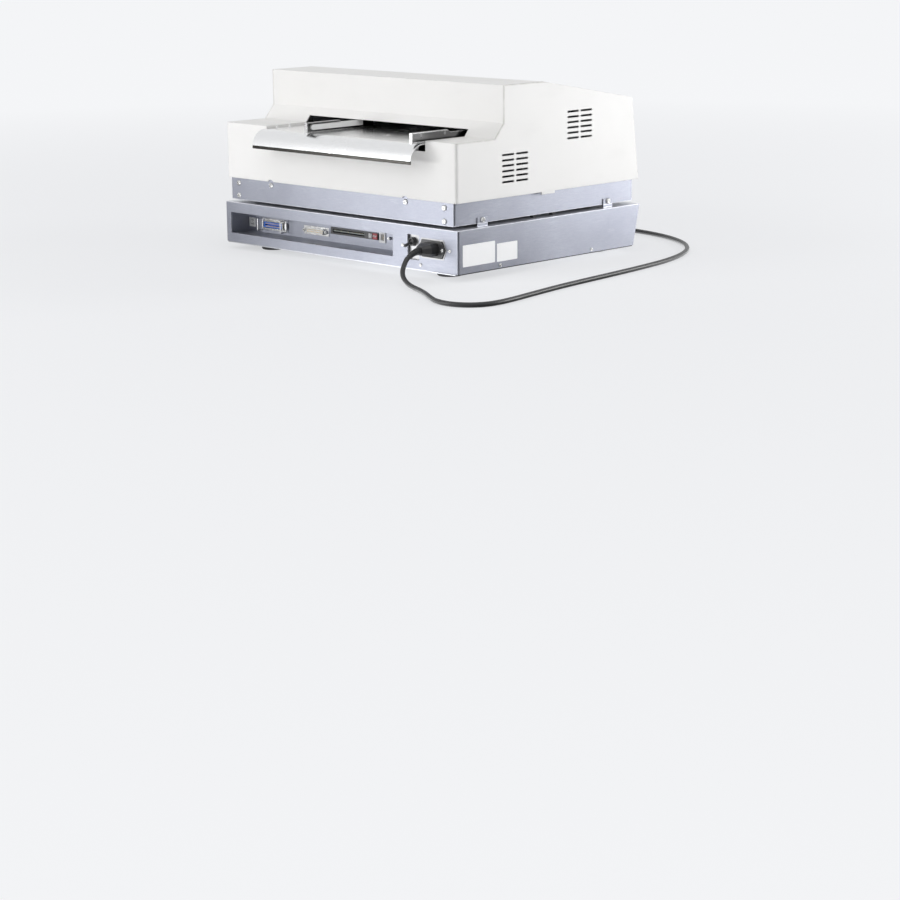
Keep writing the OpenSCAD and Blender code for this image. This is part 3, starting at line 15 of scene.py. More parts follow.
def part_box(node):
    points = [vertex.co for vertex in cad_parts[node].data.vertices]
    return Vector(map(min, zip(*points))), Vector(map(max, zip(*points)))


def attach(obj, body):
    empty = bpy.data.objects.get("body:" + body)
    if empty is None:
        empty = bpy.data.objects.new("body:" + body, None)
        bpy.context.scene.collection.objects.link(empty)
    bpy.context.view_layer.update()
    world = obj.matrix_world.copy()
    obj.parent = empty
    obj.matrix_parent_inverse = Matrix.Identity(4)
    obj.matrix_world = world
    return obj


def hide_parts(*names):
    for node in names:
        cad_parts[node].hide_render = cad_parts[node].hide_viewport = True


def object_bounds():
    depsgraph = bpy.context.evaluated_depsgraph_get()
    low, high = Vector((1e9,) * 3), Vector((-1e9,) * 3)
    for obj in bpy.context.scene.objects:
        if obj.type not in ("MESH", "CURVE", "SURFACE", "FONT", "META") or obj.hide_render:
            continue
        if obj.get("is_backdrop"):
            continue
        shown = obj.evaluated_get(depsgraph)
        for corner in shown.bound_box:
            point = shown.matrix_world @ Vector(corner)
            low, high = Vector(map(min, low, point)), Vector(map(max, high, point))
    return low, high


bl_info = {
    "name": "Label printer looks",
    "version": (1, 0, 0),
    "blender": (4, 5, 0),
    "location": "3D View > Sidebar > Printer",
    "description": "Finishes, small parts, mains lead and stage for a label printer",
    "category": "Object",
}

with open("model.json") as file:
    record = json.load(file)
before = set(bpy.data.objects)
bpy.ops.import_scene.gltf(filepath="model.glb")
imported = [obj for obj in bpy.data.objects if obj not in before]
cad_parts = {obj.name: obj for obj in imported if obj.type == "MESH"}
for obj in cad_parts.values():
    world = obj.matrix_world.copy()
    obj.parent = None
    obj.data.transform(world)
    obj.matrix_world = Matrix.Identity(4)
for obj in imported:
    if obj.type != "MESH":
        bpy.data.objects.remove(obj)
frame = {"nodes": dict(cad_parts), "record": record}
NODES = frame["nodes"]
BODY_OF = {node: body for body, members in frame["record"]["behaviour"]["bodies"].items()
           for node in members}
CAD_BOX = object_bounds()


# Sizes and colours that a user would change


def colour(name, description, value):
    return FloatVectorProperty(name=name, description=description, default=value, size=3, min=0, max=1,
                               subtype="COLOR")


def length(name, description, value):
    return FloatProperty(name=name, description=description, default=value, unit="LENGTH", precision=5)


class PaintSettings(bpy.types.PropertyGroup):
    cover: colour("Cover enamel", "Off-white enamel of the folded cover and the lid",
                  (0.865, 0.855, 0.835))
    steel: colour("Coated steel", "Blue-grey coating of the deck and the interface box",
                  (0.252, 0.262, 0.308))
    lip: colour("Brushed lip", "Brushed stainless steel of the media tray and guides",
                (0.82, 0.82, 0.825))
    # The fold colour and the fold width set painted shade along the folded corners.
    fold_shade: colour("Fold shade", "Thin, darker enamel over the folded corners", (0.40, 0.39, 0.33))
    fold_width: length("Fold width", "How far the thin enamel reaches from a corner", 0.0026)


class LeadSettings(bpy.types.PropertyGroup):
    radius: length("Radius", "Half the thickness of the mains lead", 0.0034)
    turns: IntProperty(name="Turns", description="Turns of the coil in each layer",
                       default=2, min=1, max=4)
    coil: length("Coil radius", "Radius of the coil at the middle of its turns", 0.037)
    gap: length("Turn gap", "Clear space between two turns", 0.001)


class LabelSettings(bpy.types.PropertyGroup):
    thickness: length("Thickness", "Thickness of a blank label", 0.00015)
    corner: length("Corner radius", "Radius of a label's corners", 0.0012)
    paper: colour("Face", "White face of the blank labels", (0.98, 0.98, 0.975))


class ScrewSettings(bpy.types.PropertyGroup):
    recess: length("Recess width", "Width of one arm of the cross recess", 0.0009)
    depth: length("Recess depth", "Depth of the cross recess", 0.0011)
    seed: IntProperty(name="Seed", description="Turns each screw to its own angle", default=7)


class StageSettings(bpy.types.PropertyGroup):
    floor: colour("Floor", "Pale floor under the printer", (0.86, 0.865, 0.875))
    key: FloatProperty(name="Key light", description="Power of the large soft light",
                       default=27, unit="POWER")
    fill: FloatProperty(name="Fill light",
                        description="Power of the soft light on the side with the labels",
                        default=36, unit="POWER")
    low: FloatProperty(name="Low light", description="Power of the low strip that shines along the rear",
                       default=3.6, unit="POWER")
    top: FloatProperty(name="Top light", description="Power of the soft light above",
                       default=28.5, unit="POWER")
    dim: FloatProperty(name="Dim card",
                       description="Brightness of the floor's dark part as gloss shows it", default=0.34)
    bright: FloatProperty(name="Bright card",
                          description="Brightness of the floor's lit part as gloss shows it",
                          default=3.8)


# Node graphs, written as expressions


class Value:
    """An output socket. Arithmetic on number sockets adds Math nodes."""

    def __init__(self, graph, socket):
        self.graph, self.socket = graph, socket

    def math(self, operation, *others):
        return self.graph.node("ShaderNodeMath", {"operation": operation},
                               dict(enumerate((self,) + others)))

    def __add__(self, other):
        return self.math("ADD", other)

    def __mul__(self, other):
        return self.math("MULTIPLY", other)

    def __sub__(self, other):
        return self.math("SUBTRACT", other)

    def __neg__(self):
        return self * -1

    def __rsub__(self, other):
        return self.graph.node("ShaderNodeMath", {"operation": "SUBTRACT"}, {0: other, 1: self})

    __radd__, __rmul__ = __add__, __mul__

    def __abs__(self):
        return self.math("ABSOLUTE")

    def lower(self, other):
        return self.math("MINIMUM", other)

    def upper(self, other):
        return self.math("MAXIMUM", other)

    def held(self, low, high):
        """0 below low, 1 above high, a ramp between."""
        return self.graph.node("ShaderNodeMapRange", {"clamp": True},
                               {0: self, 1: low, 2: high, 3: 0, 4: 1})

    def near(self, place, width):
        """1 at place, falling to 0 at width from it."""
        return self.graph.node("ShaderNodeMapRange", {"clamp": True},
                               {0: abs(self - place), 1: 0, 2: width, 3: 1, 4: 0})


class Graph:
    """A node tree that is built node by node."""

    def __init__(self, tree):
        self.tree = tree

    def node(self, kind, settings=None, inputs=None, out=0):
        made = self.tree.nodes.new(kind)
        for name, value in (settings or {}).items():
            if name == "stops":
                for stop, (place, tint) in zip(self.stops(made, len(value)), value):
                    stop.position, stop.color = place, tint
            else:
                setattr(made, name, value)
        for name, value in (inputs or {}).items():
            for one in value if isinstance(value, list) else [value]:
                if isinstance(one, Value):
                    self.tree.links.new(one.socket, made.inputs[name])
                else:
                    made.inputs[name].default_value = one
        return Value(self, made.outputs[out]) if len(made.outputs) else made

    @staticmethod
    def stops(made, count):
        while len(made.color_ramp.elements) < count:
            made.color_ramp.elements.new(0.5)
        return made.color_ramp.elements

    def axes(self, vector):
        """The x, y and z of a vector."""
        parts = self.node("ShaderNodeSeparateXYZ", None, {0: vector}).socket.node.outputs
        return [Value(self, part) for part in parts]

    def rays(self):
        """1 for a camera, a glossy and a transmission ray."""
        path = self.node("ShaderNodeLightPath").socket.node.outputs
        return [Value(self, path["Is %s Ray" % kind]) for kind in ("Camera", "Glossy", "Transmission")]


class Finish(Graph):
    """A material: one Principled surface fed by expressions."""

    def __init__(self, name, slot):
        self.material = bpy.data.materials.new(name)
        self.material.use_nodes = True
        super().__init__(self.material.node_tree)
        self.tree.nodes.clear()
        self.slot = slot
        self.place = self.node("ShaderNodeTexCoord", out="Object")
        self.x, self.y, self.z = self.axes(self.place)
        self.up = self.axes(self.node("ShaderNodeNewGeometry", out="Normal"))[2]

    def noise(self, scale, detail=2.0, roughness=0.5, stretch=(1, 1, 1)):
        place = self.place
        if stretch != (1, 1, 1):
            place = self.node("ShaderNodeMapping", {"vector_type": "POINT"},
                              {"Vector": place, "Scale": stretch})
        return self.node("ShaderNodeTexNoise", {"noise_dimensions": "3D"},
                         {"Vector": place, "Scale": scale, "Detail": detail, "Roughness": roughness})

    def mix(self, share, first, second):
        full = [tone if isinstance(tone, Value) else (*tone, 1.0) for tone in (first, second)]
        return self.node("ShaderNodeMix", {"data_type": "RGBA", "clamp_factor": True},
                         {0: share, 6: full[0], 7: full[1]}, out=2)

    def bump(self, height, distance, strength=1.0, under=None):
        inputs = {"Height": height, "Distance": distance, "Strength": strength}
        if under is not None:
            inputs["Normal"] = under
        return self.node("ShaderNodeBump", None, inputs)

    def edge(self, radius):
        """1 along sharp CAD edges, 0 on flat faces."""
        true = self.node("ShaderNodeNewGeometry", out="Normal")
        turned = self.node("ShaderNodeVectorMath", {"operation": "DOT_PRODUCT"},
                           {0: true, 1: self.rounded(radius)}, out="Value")
        return (1.0 - turned).held(0.01, 0.12)

    def rounded(self, radius):
        """Normals that round the sharp CAD edges."""
        return self.node("ShaderNodeBevel", {"samples": 4}, {"Radius": radius})

    def surface(self, base, roughness, metallic=0.0, normal=None, coat=0.0, **sockets):
        inputs = {"Base Color": base if isinstance(base, Value) else (*base, 1.0), "Roughness": roughness,
                  "Metallic": metallic, "Coat Weight": coat}
        if normal is not None:
            inputs["Normal"] = normal
        inputs.update({name.replace("_", " "): value for name, value in sockets.items()})
        shader = self.node("ShaderNodeBsdfPrincipled", None, inputs)
        self.node("ShaderNodeOutputMaterial", None, {"Surface": shader})
        return self


def darker(tone, share):
    return tuple(part * share for part in tone)


def towards(tone, other, share):
    return tuple(a + (b - a) * share for a, b in zip(tone, other))


# Finishes of this printer, and the planes of its sheet that folds and edges follow (metres)

COVER_BACK, COVER_HALF, COVER_HEM, COVER_TOP = 0.17945, 0.237, 0.1064, 0.2585
LEDGE_TOP, HOOD_BACK = 0.187, 0.08625
STEP_Y, STEP_Z, STEP_OUT, STEP_TOP = 0.7611, 0.6486, 0.200106, 0.2073
BOX_TOP, BOX_HALF, DECK_FOOT = 0.0703, 0.2372, 0.0747
LIP_END, LIP_RISE, LIP_BACK = 0.1606, 0.0250, 0.185


def enamel(name, tone, fold_shade, fold_width):
    """Semi-matt enamel on folded sheet: orange peel, dust on top, and painted shade, darker and olive,
    along the folds.
    """
    f = Finish(name, "cover_paint")
    cloud = f.noise(7, 3, 0.6)
    dust = f.noise(45, 6, 0.65) * f.up.held(0.6, 0.98)
    smudge = f.noise(16, 4, 0.6, (1, 1, 2.2)).held(0.56, 0.72)
    base = f.mix(cloud.held(0.3, 0.7), tone, towards(tone, (0.70, 0.69, 0.62), 0.10))
    base = f.mix(smudge * 0.10, base, darker(tone, 0.86))
    base = f.mix(dust * 0.32, base, (0.62, 0.61, 0.585))
    box = (COVER_BACK - f.y).lower(LEDGE_TOP - f.z)
    step = (STEP_OUT - f.y * STEP_Y - f.z * STEP_Z).lower(STEP_TOP - f.z)
    hood = (HOOD_BACK - f.y).lower(COVER_TOP - f.z)
    inward = box.upper(step).upper(hood).upper(COVER_HALF - abs(f.x))
    # Painted shade: the enamel is darkened towards the fold colour along the folds.
    corner = inward.near(0, fold_width) * f.noise(60, 3).held(0.1, 0.6)
    base = f.mix(corner * 0.55, base, fold_shade)
    hem = f.z.near(COVER_HEM, 0.004) * f.noise(90, 3).held(0.35, 0.7)
    base = f.mix(hem * 0.22, base, darker(tone, 0.62))
    peel = f.noise(1500, 2) * 0.7 + f.noise(420, 2) * 0.3
    normal = f.bump(peel, 0.00012, 0.35, f.rounded(0.0011))
    rough = f.noise(60, 4).held(0.2, 0.8) * 0.10 + 0.40
    return f.surface(base, rough + smudge * 0.08, 0.0, normal, coat=0.12, Coat_Roughness=0.35)


def coated_steel(name, tone):
    """Blue-grey coated sheet: a fine rolled grain, pale scuffs, rubbed sharp edges, and a painted
    highlight along the box's top rim and the deck's foot.
    """
    f = Finish(name, "blue_metal")
    grain = f.noise(900, 3, 0.6, (0.10, 0.10, 1.0))
    speck = f.noise(1800, 2)
    cloud = f.noise(12, 4, 0.6)
    scuff = f.noise(40, 5, 0.7, (0.5, 0.5, 3.0)).held(0.60, 0.74)
    base = f.mix(cloud.held(0.25, 0.75), darker(tone, 0.93), towards(tone, (0.62, 0.64, 0.70), 0.16))
    base = f.mix(grain.held(0.35, 0.7) * 0.35, base, darker(tone, 0.80))
    base = f.mix(speck.held(0.55, 0.75) * 0.30, base, towards(tone, (0.75, 0.77, 0.82), 0.6))
    base = f.mix(scuff * 0.12, base, (0.62, 0.64, 0.68))
    # Painted highlight along the box's top rim and the deck's foot, with lighter rubbed sharp edges.
    rim = f.z.near(BOX_TOP, 0.0014).upper(f.z.near(DECK_FOOT, 0.0010)).upper(f.edge(0.0009) * 0.5)
    base = f.mix(rim * 0.75, base, (0.74, 0.75, 0.79))
    normal = f.bump(grain * 0.5 + speck * 0.5, 0.00006, 0.5, f.rounded(0.0008))
    rough = cloud.held(0.2, 0.8) * 0.08 + 0.31 + grain * 0.08
    return f.surface(base, rough, 0.75, normal, coat=0.10, Coat_Roughness=0.30)


def brushed(name, slot, tone, along, rough=0.24, hem=None):
    """Bright metal with brush lines along one direction; hem is the level of the lip's lower end, which
    is painted near-black as shade, and the flat top is painted darker as shade and dark reflection.
    """
    f = Finish(name, slot)
    stretch = tuple(0.02 if part else 1.0 for part in along)
    lines = f.noise(2600, 3, 0.65, stretch)
    broad = f.noise(300, 2, 0.5, stretch)
    stain = f.noise(22, 5, 0.6).held(0.50, 0.75)
    base = f.mix(lines.held(0.3, 0.7) * 0.5, tone, darker(tone, 0.80))
    base = f.mix(stain * 0.20, base, towards(darker(tone, 0.8), (0.45, 0.42, 0.37), 0.25))
    if hem is not None:
        # Painted shade and reflection: the flat top is darker, more so towards -X.
        flat = f.z.held(hem + LIP_RISE - 0.0018, hem + LIP_RISE)
        flat = flat * ((-f.x).held(-0.10, 0.16) * 0.40 + 0.15)
        base = f.mix(flat, base, darker(tone, 0.22))
        # Painted shade: the lip's lower end is near-black.
        end = (hem - f.z).held(-0.0012, -0.0006) * f.y.held(LIP_BACK, LIP_BACK + 0.005)
        base = f.mix(end, base, (0.025, 0.024, 0.022))
    normal = f.bump(lines * 0.8 + broad * 0.2, 0.00003, 0.55, f.rounded(0.0005))
    return f.surface(base, lines * 0.12 + stain * 0.10 + rough, 1.0, normal)


def guide_steel(name, tone):
    """Drawn steel: faces painted dark as a reflection of the dark interior, and folded edges rubbed
    bright, which also paints a highlight there.
    """
    f = Finish(name, "stainless")
    lines = f.noise(2200, 3, 0.6, (1, 0.03, 1))
    haze = f.noise(40, 4, 0.6)
    # Painted reflection: the faces are darkened; the lighter folded edges are partly painted highlight.
    rubbed = f.edge(0.0011)
    base = f.mix(lines.held(0.3, 0.7) * 0.5, darker(tone, 0.20), darker(tone, 0.13))
    base = f.mix(haze.held(0.5, 0.8) * 0.3, base, darker(tone, 0.38))
    base = f.mix(rubbed, base, tone)
    normal = f.bump(lines, 0.00003, 0.5, f.rounded(0.0005))
    return f.surface(base, lines * 0.10 + rubbed * 0.12 + 0.16, 1.0, normal)


def plated(name, slot, tone, rough=0.22):
    """Nickel or zinc plate: faint spangle, fine pits."""
    f = Finish(name, slot)
    spangle = f.node("ShaderNodeTexVoronoi", {"feature": "F1"}, {"Vector": f.place, "Scale": 160.0},
                     out="Color")
    tint = f.axes(spangle)[0]
    pits = f.noise(2200, 3)
    haze = f.noise(35, 4, 0.6)
    base = f.mix(tint * 0.35, tone, darker(tone, 0.82))
    base = f.mix(haze.held(0.5, 0.8) * 0.25, base, darker(tone, 0.70))
    normal = f.bump(pits, 0.00003, 0.4, f.rounded(0.0004))
    return f.surface(base, haze * 0.16 + rough + tint * 0.05, 1.0, normal)


def base_sheet(name, tone):
    """Plated base sheet: spangle, painted shade near-black along the sides, and grime near the floor."""
    f = Finish(name, "bright_steel")
    spangle = f.noise(240, 4, 0.6)
    grime = f.noise(70, 5, 0.65)
    base = f.mix(spangle.held(0.35, 0.65) * 0.5, tone, darker(tone, 0.78))
    base = f.mix(grime.held(0.5, 0.75) * 0.4, base, darker(tone, 0.45))
    # Painted shade: near-black where the sheet shows beyond the box's sides.
    side_edge_shade = abs(f.x).held(BOX_HALF, BOX_HALF + 0.0008)
    base = f.mix(side_edge_shade * 0.95, base, (0.035, 0.035, 0.04))
    normal = f.bump(spangle, 0.00004, 0.4, f.rounded(0.0005))
    return f.surface(base, grime * 0.14 + 0.26, 1.0, normal)


def moulded(name, slot, tone, rough=0.42, grain=1600, depth=0.00005, lift=0.10, coat=0.0):
    """Moulded plastic with spark-eroded grain and rubbed, dusty high spots."""
    f = Finish(name, slot)
    fine = f.noise(grain, 3, 0.6)
    cloud = f.noise(30, 4, 0.6)
    dust = f.noise(110, 5, 0.7) * f.up.held(0.3, 0.95)
    base = f.mix(cloud.held(0.3, 0.7), darker(tone, 0.92), towards(tone, (0.5, 0.5, 0.5), lift * 0.5))
    base = f.mix(dust * 0.30, base, towards(tone, (0.45, 0.44, 0.42), 0.35))
    normal = f.bump(fine, depth, 0.6, f.rounded(0.0004))
    return f.surface(base, cloud * 0.14 + rough, 0.0, normal, coat=coat)


def rubber(name, slot, tone):
    """Matt rubber: pale bloom and a ground texture."""
    f = Finish(name, slot)
    bloom = f.noise(70, 5, 0.7)
    ground = f.noise(1300, 3)
    base = f.mix(bloom.held(0.45, 0.75) * 0.5, tone, towards(tone, (0.30, 0.30, 0.29), 0.35))
    normal = f.bump(ground, 0.00008, 0.8)
    return f.surface(base, bloom * 0.15 + 0.66, 0.0, normal)


def laminate(name):
    """Circuit board: lacquer over copper tracks, bare pads between them."""
    f = Finish(name, "circuit_board")
    tracks = f.node("ShaderNodeTexBrick", {"offset": 0.37},
                    {"Vector": f.place, "Scale": 260.0, "Mortar Size": 0.14, "Color1": (0, 0, 0, 1),
                     "Color2": (0, 0, 0, 1), "Mortar": (1, 1, 1, 1)}, out="Fac")
    weave = f.noise(2400, 2)
    area = f.noise(55, 2).held(0.42, 0.58)
    base = f.mix(tracks * area, (0.030, 0.125, 0.060), (0.075, 0.24, 0.12))
    base = f.mix(weave * 0.3, base, (0.02, 0.09, 0.045))
    normal = f.bump(tracks * area, 0.00004, 0.6)
    return f.surface(base, weave * 0.10 + 0.28, 0.0, normal, coat=0.4, Coat_Roughness=0.2)


def tinted_window(name):
    """Display window: dark green glass with a faint dot grid under it."""
    f = Finish(name, "display_glass")
    cells = f.node("ShaderNodeTexBrick", {"offset": 0.0},
                   {"Vector": f.node("ShaderNodeMapping", None,
                                     {"Vector": f.place, "Rotation": (1.4416, 0, 0)}),
                    "Scale": 900.0, "Mortar Size": 0.12, "Color1": (0, 0, 0, 1), "Color2": (0, 0, 0, 1),
                    "Mortar": (1, 1, 1, 1)}, out="Fac")
    smear = f.noise(50, 4, 0.6)
    base = f.mix(cells * 0.5, (0.10, 0.15, 0.075), (0.055, 0.085, 0.045))
    return f.surface(base, smear * 0.10 + 0.07, 0.0, None, coat=1.0, Coat_Roughness=0.04)


def ribbon_film(name):
    """Wound film: its turns show as fine rings on the ends of the roll."""
    f = Finish(name, "ribbon_film")
    rings = f.noise(1500, 2)
    turns = f.noise(90, 3, 0.5, (30, 1, 1))
    base = f.mix(rings.held(0.4, 0.7) * 0.4, (0.022, 0.022, 0.026), (0.075, 0.072, 0.075))
    return f.surface(base, turns * 0.12 + 0.22, 0.0, f.bump(turns, 0.0001, 0.4), coat=0.3)


def label_face(name, tone):
    """Vinyl label: faint patchy grime and fibre on the face, faint creases."""
    f = Finish(name, "white_plastic")
    fibre = f.noise(1900, 3)
    grime = f.noise(120, 5, 0.7)
    crease = f.noise(26, 3, 0.5, (1, 0.4, 2.0))
    base = f.mix(grime.held(0.55, 0.8) * 0.14, tone, darker(tone, 0.82))
    base = f.mix(fibre.held(0.5, 0.8) * 0.08, base, darker(tone, 0.90))
    return f.surface(base, grime * 0.15 + 0.38, 0.0, f.bump(fibre * 0.3 + crease * 0.7, 0.00012, 0.35),
                     coat=0.15)


def sheath(name):
    """Lead sheath: soft black plastic with a drawn surface and dust."""
    f = Finish(name, "cord_plastic")
    drawn = f.noise(700, 3, 0.6)
    dust = f.noise(140, 5, 0.7) * f.up.held(0.2, 0.9)
    base = f.mix(drawn.held(0.35, 0.7) * 0.4, (0.010, 0.010, 0.011), (0.024, 0.024, 0.026))
    base = f.mix(dust * 0.12, base, (0.15, 0.148, 0.14))
    return f.surface(base, drawn * 0.16 + 0.32, 0.0, f.bump(drawn, 0.00005, 0.6))


FINISHES = {}


def make_finishes(paint, labels):
    """Every finish by name, made once."""
    FINISHES.update({
        "enamel": enamel("cover_enamel", tuple(paint.cover), tuple(paint.fold_shade), paint.fold_width),
        "steel": coated_steel("coated_steel", tuple(paint.steel)),
        "lip": brushed("brushed_lip", "stainless", tuple(paint.lip), (1, 0, 0), 0.17, LIP_END),
        "guide": guide_steel("drawn_guide", tuple(paint.lip)),
        "stay": brushed("brushed_stay", "stainless", darker(tuple(paint.lip), 0.85), (0, 0, 1), 0.34),
        "nickel": plated("nickel_plate", "bright_steel", (0.62, 0.62, 0.615), 0.16),
        "card": moulded("card_edge", "circuit_board", (0.33, 0.36, 0.34), 0.40),
        "zinc": plated("zinc_plate", "bright_steel", (0.62, 0.63, 0.65), 0.30),
        "base": base_sheet("base_sheet", (0.50, 0.51, 0.54)),
        "bracket": plated("bracket_plate", "bright_steel", (0.33, 0.33, 0.335), 0.24),
        "shaft": brushed("ground_shaft", "bright_steel", (0.66, 0.66, 0.67), (0, 1, 1), 0.20),
        "aluminium": brushed("machined_aluminium", "aluminium", (0.72, 0.72, 0.73), (1, 0, 0), 0.30),
        "white": moulded("white_moulding", "white_plastic", (0.93, 0.93, 0.915), 0.36, lift=0.0),
        "blue": moulded("blue_moulding", "blue_plastic", (0.03, 0.16, 0.66), 0.30),
        "black": moulded("black_moulding", "black_plastic", (0.022, 0.022, 0.024), 0.34, coat=0.15),
        "grey": moulded("grey_caps", "grey_plastic", (0.42, 0.43, 0.45), 0.46),
        "red": moulded("red_moulding", "red_plastic", (0.44, 0.025, 0.04), 0.34),
        "black_metal": moulded("black_enamel", "black_metal", (0.030, 0.030, 0.033), 0.38, 700, 0.00012),
        "rubber": rubber("foot_rubber", "rubber", (0.035, 0.035, 0.036)),
        "board": laminate("lacquered_board"),
        "window": tinted_window("display_window"),
        "film": ribbon_film("ribbon_film"),
        "label": label_face("label_face", tuple(labels.paper)),
        "lead": sheath("lead_sheath"),
        "gold": plated("contact_gold", "bright_steel", (0.85, 0.62, 0.28), 0.18),
        # Painted shade: matt black for the shade inside the serial socket's contact holes.
        "hole": rubber("socket_hole", "black_plastic", (0.010, 0.010, 0.011)),
    })


FINISH_NODES = {
    "rubber": "feet deck_pads platen_roller feed_roller pinch_roller drive_belt",
    "base": "base_plate",
    "steel": "box_wrap rear_panel port_pocket port_panel deck_pan deck_rear",
    "white": "usb_socket serial_insert aux_socket guide_strip",
    "nickel": "parallel_shell bail_left bail_right serial_shell machine_screws",
    "blue": "parallel_insert",
    "black": "card_bezel switch_body inlet operator_bezel",
    "card": "option_card",
    "red": "dip_switch",
    "bracket": "switch_bracket",
    "black_metal": "power_lever drive_motor head_carrier",
    "zinc": "power_supply frame_left frame_right",
    "board": "main_board",
    "enamel": "cover lid",
    "lip": "media_tray exit_chute",
    "stay": "tray_stay",
    "shaft": "guide_rod platen_shaft",
    "guide": "guide_right guide_left",
    "window": "display_window",
    "grey": "key_1 key_2 key_3 key_4",
    "aluminium": "motor_pulley print_head",
    "film": "ribbon_supply ribbon_takeup",
    "lead": "plug lead_free lead_coil wall_plug",
}
NODE_FINISH = {node: finish for finish, nodes in FINISH_NODES.items() for node in nodes.split()}


# Geometry Nodes trees


class Recipe(Graph):
    """A Geometry Nodes tree with named inputs, which ends in Realize Instances and Set Material."""

    def __init__(self, name, inputs):
        super().__init__(bpy.data.node_groups.new(name, "GeometryNodeTree"))
        self.sockets = {}
        face = self.tree.interface
        face.new_socket("Geometry", in_out="INPUT", socket_type="NodeSocketGeometry")
        for label, (kind, value) in inputs.items():
            made = face.new_socket(label, in_out="INPUT", socket_type="NodeSocket" + kind)
            made.default_value = value
            self.sockets[label] = made.identifier
        face.new_socket("Geometry", in_out="OUTPUT", socket_type="NodeSocketGeometry")
        self.given = self.tree.nodes.new("NodeGroupInput")

    def get(self, label):
        return Value(self, self.given.outputs[label])

    def vector(self, x, y, z):
        return self.node("ShaderNodeCombineXYZ", None, {0: x, 1: y, 2: z})

    def moved(self, geometry, **places):
        return self.node("GeometryNodeTransform", None,
                         {"Geometry": geometry,
                          **{name.capitalize(): value for name, value in places.items()}})

    def block(self, x, y, z):
        return self.node("GeometryNodeMeshCube", None, {"Size": self.vector(x, y, z)})

    def ends_in(self, geometry, finish):
        real = self.node("GeometryNodeRealizeInstances", None, {"Geometry": geometry})
        dressed = self.node("GeometryNodeSetMaterial", None,
                            {"Geometry": real, "Material": finish.material})
        self.tree.links.new(dressed.socket, self.tree.nodes.new("NodeGroupOutput").inputs[0])

    def at_points(self, shape, finish, **turn):
        """Ends the tree in the shape, placed at every point."""
        self.ends_in(self.node("GeometryNodeInstanceOnPoints", None,
                               {"Points": self.get("Geometry"), "Instance": shape, **turn}), finish)
        return self

    def made(self, name, mesh, values):
        """A plain mesh object: the tree run over the mesh with these values."""
        carrier = bpy.data.objects.new(name + "_carrier", mesh)
        bpy.context.scene.collection.objects.link(carrier)
        modifier = carrier.modifiers.new("recipe", "NODES")
        modifier.node_group = self.tree
        for label, value in values.items():
            modifier[self.sockets[label]] = value
        ready = carrier.evaluated_get(bpy.context.evaluated_depsgraph_get())
        result = bpy.data.meshes.new_from_object(ready)
        carrier.modifiers.remove(modifier)
        bpy.data.objects.remove(carrier)
        if not result.polygons:
            raise RuntimeError(name + ": the tree made no faces")
        return piece(name, result)


def points_mesh(name, places, facings=None):
    """Bare points, each with the direction that it faces."""
    mesh = bpy.data.meshes.new(name)
    mesh.from_pydata([tuple(place) for place in places], [], [])
    facing = mesh.attributes.new("facing", "FLOAT_VECTOR", "POINT")
    for i, way in enumerate(facings or [(0, 1, 0)] * len(places)):
        facing.data[i].vector = way
    return mesh


# The screw head that the recess's width and depth are given for
HEAD_RADIUS, HEAD_HEIGHT = 0.0042, 0.0024


def screw_recipe(finish):
    """A domed head with a cross recess at every point, each turned to its own angle."""
    r = Recipe("pan_head_screws", {
        "Radius": ("Float", HEAD_RADIUS), "Height": ("Float", HEAD_HEIGHT),
        "Recess Width": ("Float", 0.0009),
        "Recess Depth": ("Float", 0.0011), "Seed": ("Int", 7)})
    radius, height, width, depth = (
        r.get(label) for label in ("Radius", "Height", "Recess Width", "Recess Depth"))
    ball = r.node("GeometryNodeMeshUVSphere", None, {"Segments": 32, "Rings": 16, "Radius": 1.0})
    dome = r.moved(ball, scale=r.vector(radius, radius, height * 1.35))
    under = r.moved(r.block(radius * 3, radius * 3, height * 2), translation=r.vector(0, 0, height * -1))
    over = r.moved(r.block(radius * 3, radius * 3, height * 2), translation=r.vector(0, 0, height * 2))
    arms = [r.moved(r.block(*size), translation=r.vector(0, 0, height - depth * 0.5 + 0.0002))
            for size in ((radius * 1.15, width, depth + 0.0004), (width, radius * 1.15, depth + 0.0004))]
    head = r.node("GeometryNodeMeshBoolean", {"operation": "DIFFERENCE", "solver": "EXACT"},
                  {"Mesh 1": dome, "Mesh 2": [under, over] + arms})
    facing = r.node("GeometryNodeInputNamedAttribute", {"data_type": "FLOAT_VECTOR"}, {"Name": "facing"})
    aimed = r.node("FunctionNodeAlignRotationToVector", {"axis": "Z"}, {"Vector": facing})
    angle = r.node("FunctionNodeRandomValue", {"data_type": "FLOAT"},
                   {2: 0.0, 3: 6.283, "Seed": r.get("Seed")}, out=1)
    spin = r.node("FunctionNodeAxisAngleToRotation", None, {"Axis": (0, 0, 1), "Angle": angle})
    turned = r.node("FunctionNodeRotateRotation", {"rotation_space": "LOCAL"}, {0: aimed, 1: spin})
    return r.at_points(head, finish, Rotation=turned)


def block_recipe(name, finish):
    """A small block at every point."""
    r = Recipe(name, {"Width": ("Float", 0.001), "Depth": ("Float", 0.001), "Height": ("Float", 0.001)})
    return r.at_points(r.block(r.get("Width"), r.get("Depth"), r.get("Height")), finish)


def pin_recipe(name, finish):
    """A round pin, or the rim of a hole, at every point, lying along Y."""
    r = Recipe(name, {"Radius": ("Float", 0.0005), "Length": ("Float", 0.001)})
    pin = r.node("GeometryNodeMeshCylinder", None,
                 {"Vertices": 16, "Radius": r.get("Radius"), "Depth": r.get("Length")})
    return r.at_points(r.moved(pin, rotation=(math.pi / 2, 0, 0)), finish)


# Pieces


def piece(name, mesh):
    made = bpy.data.objects.new(name, mesh)
    bpy.context.scene.collection.objects.link(made)
    return made


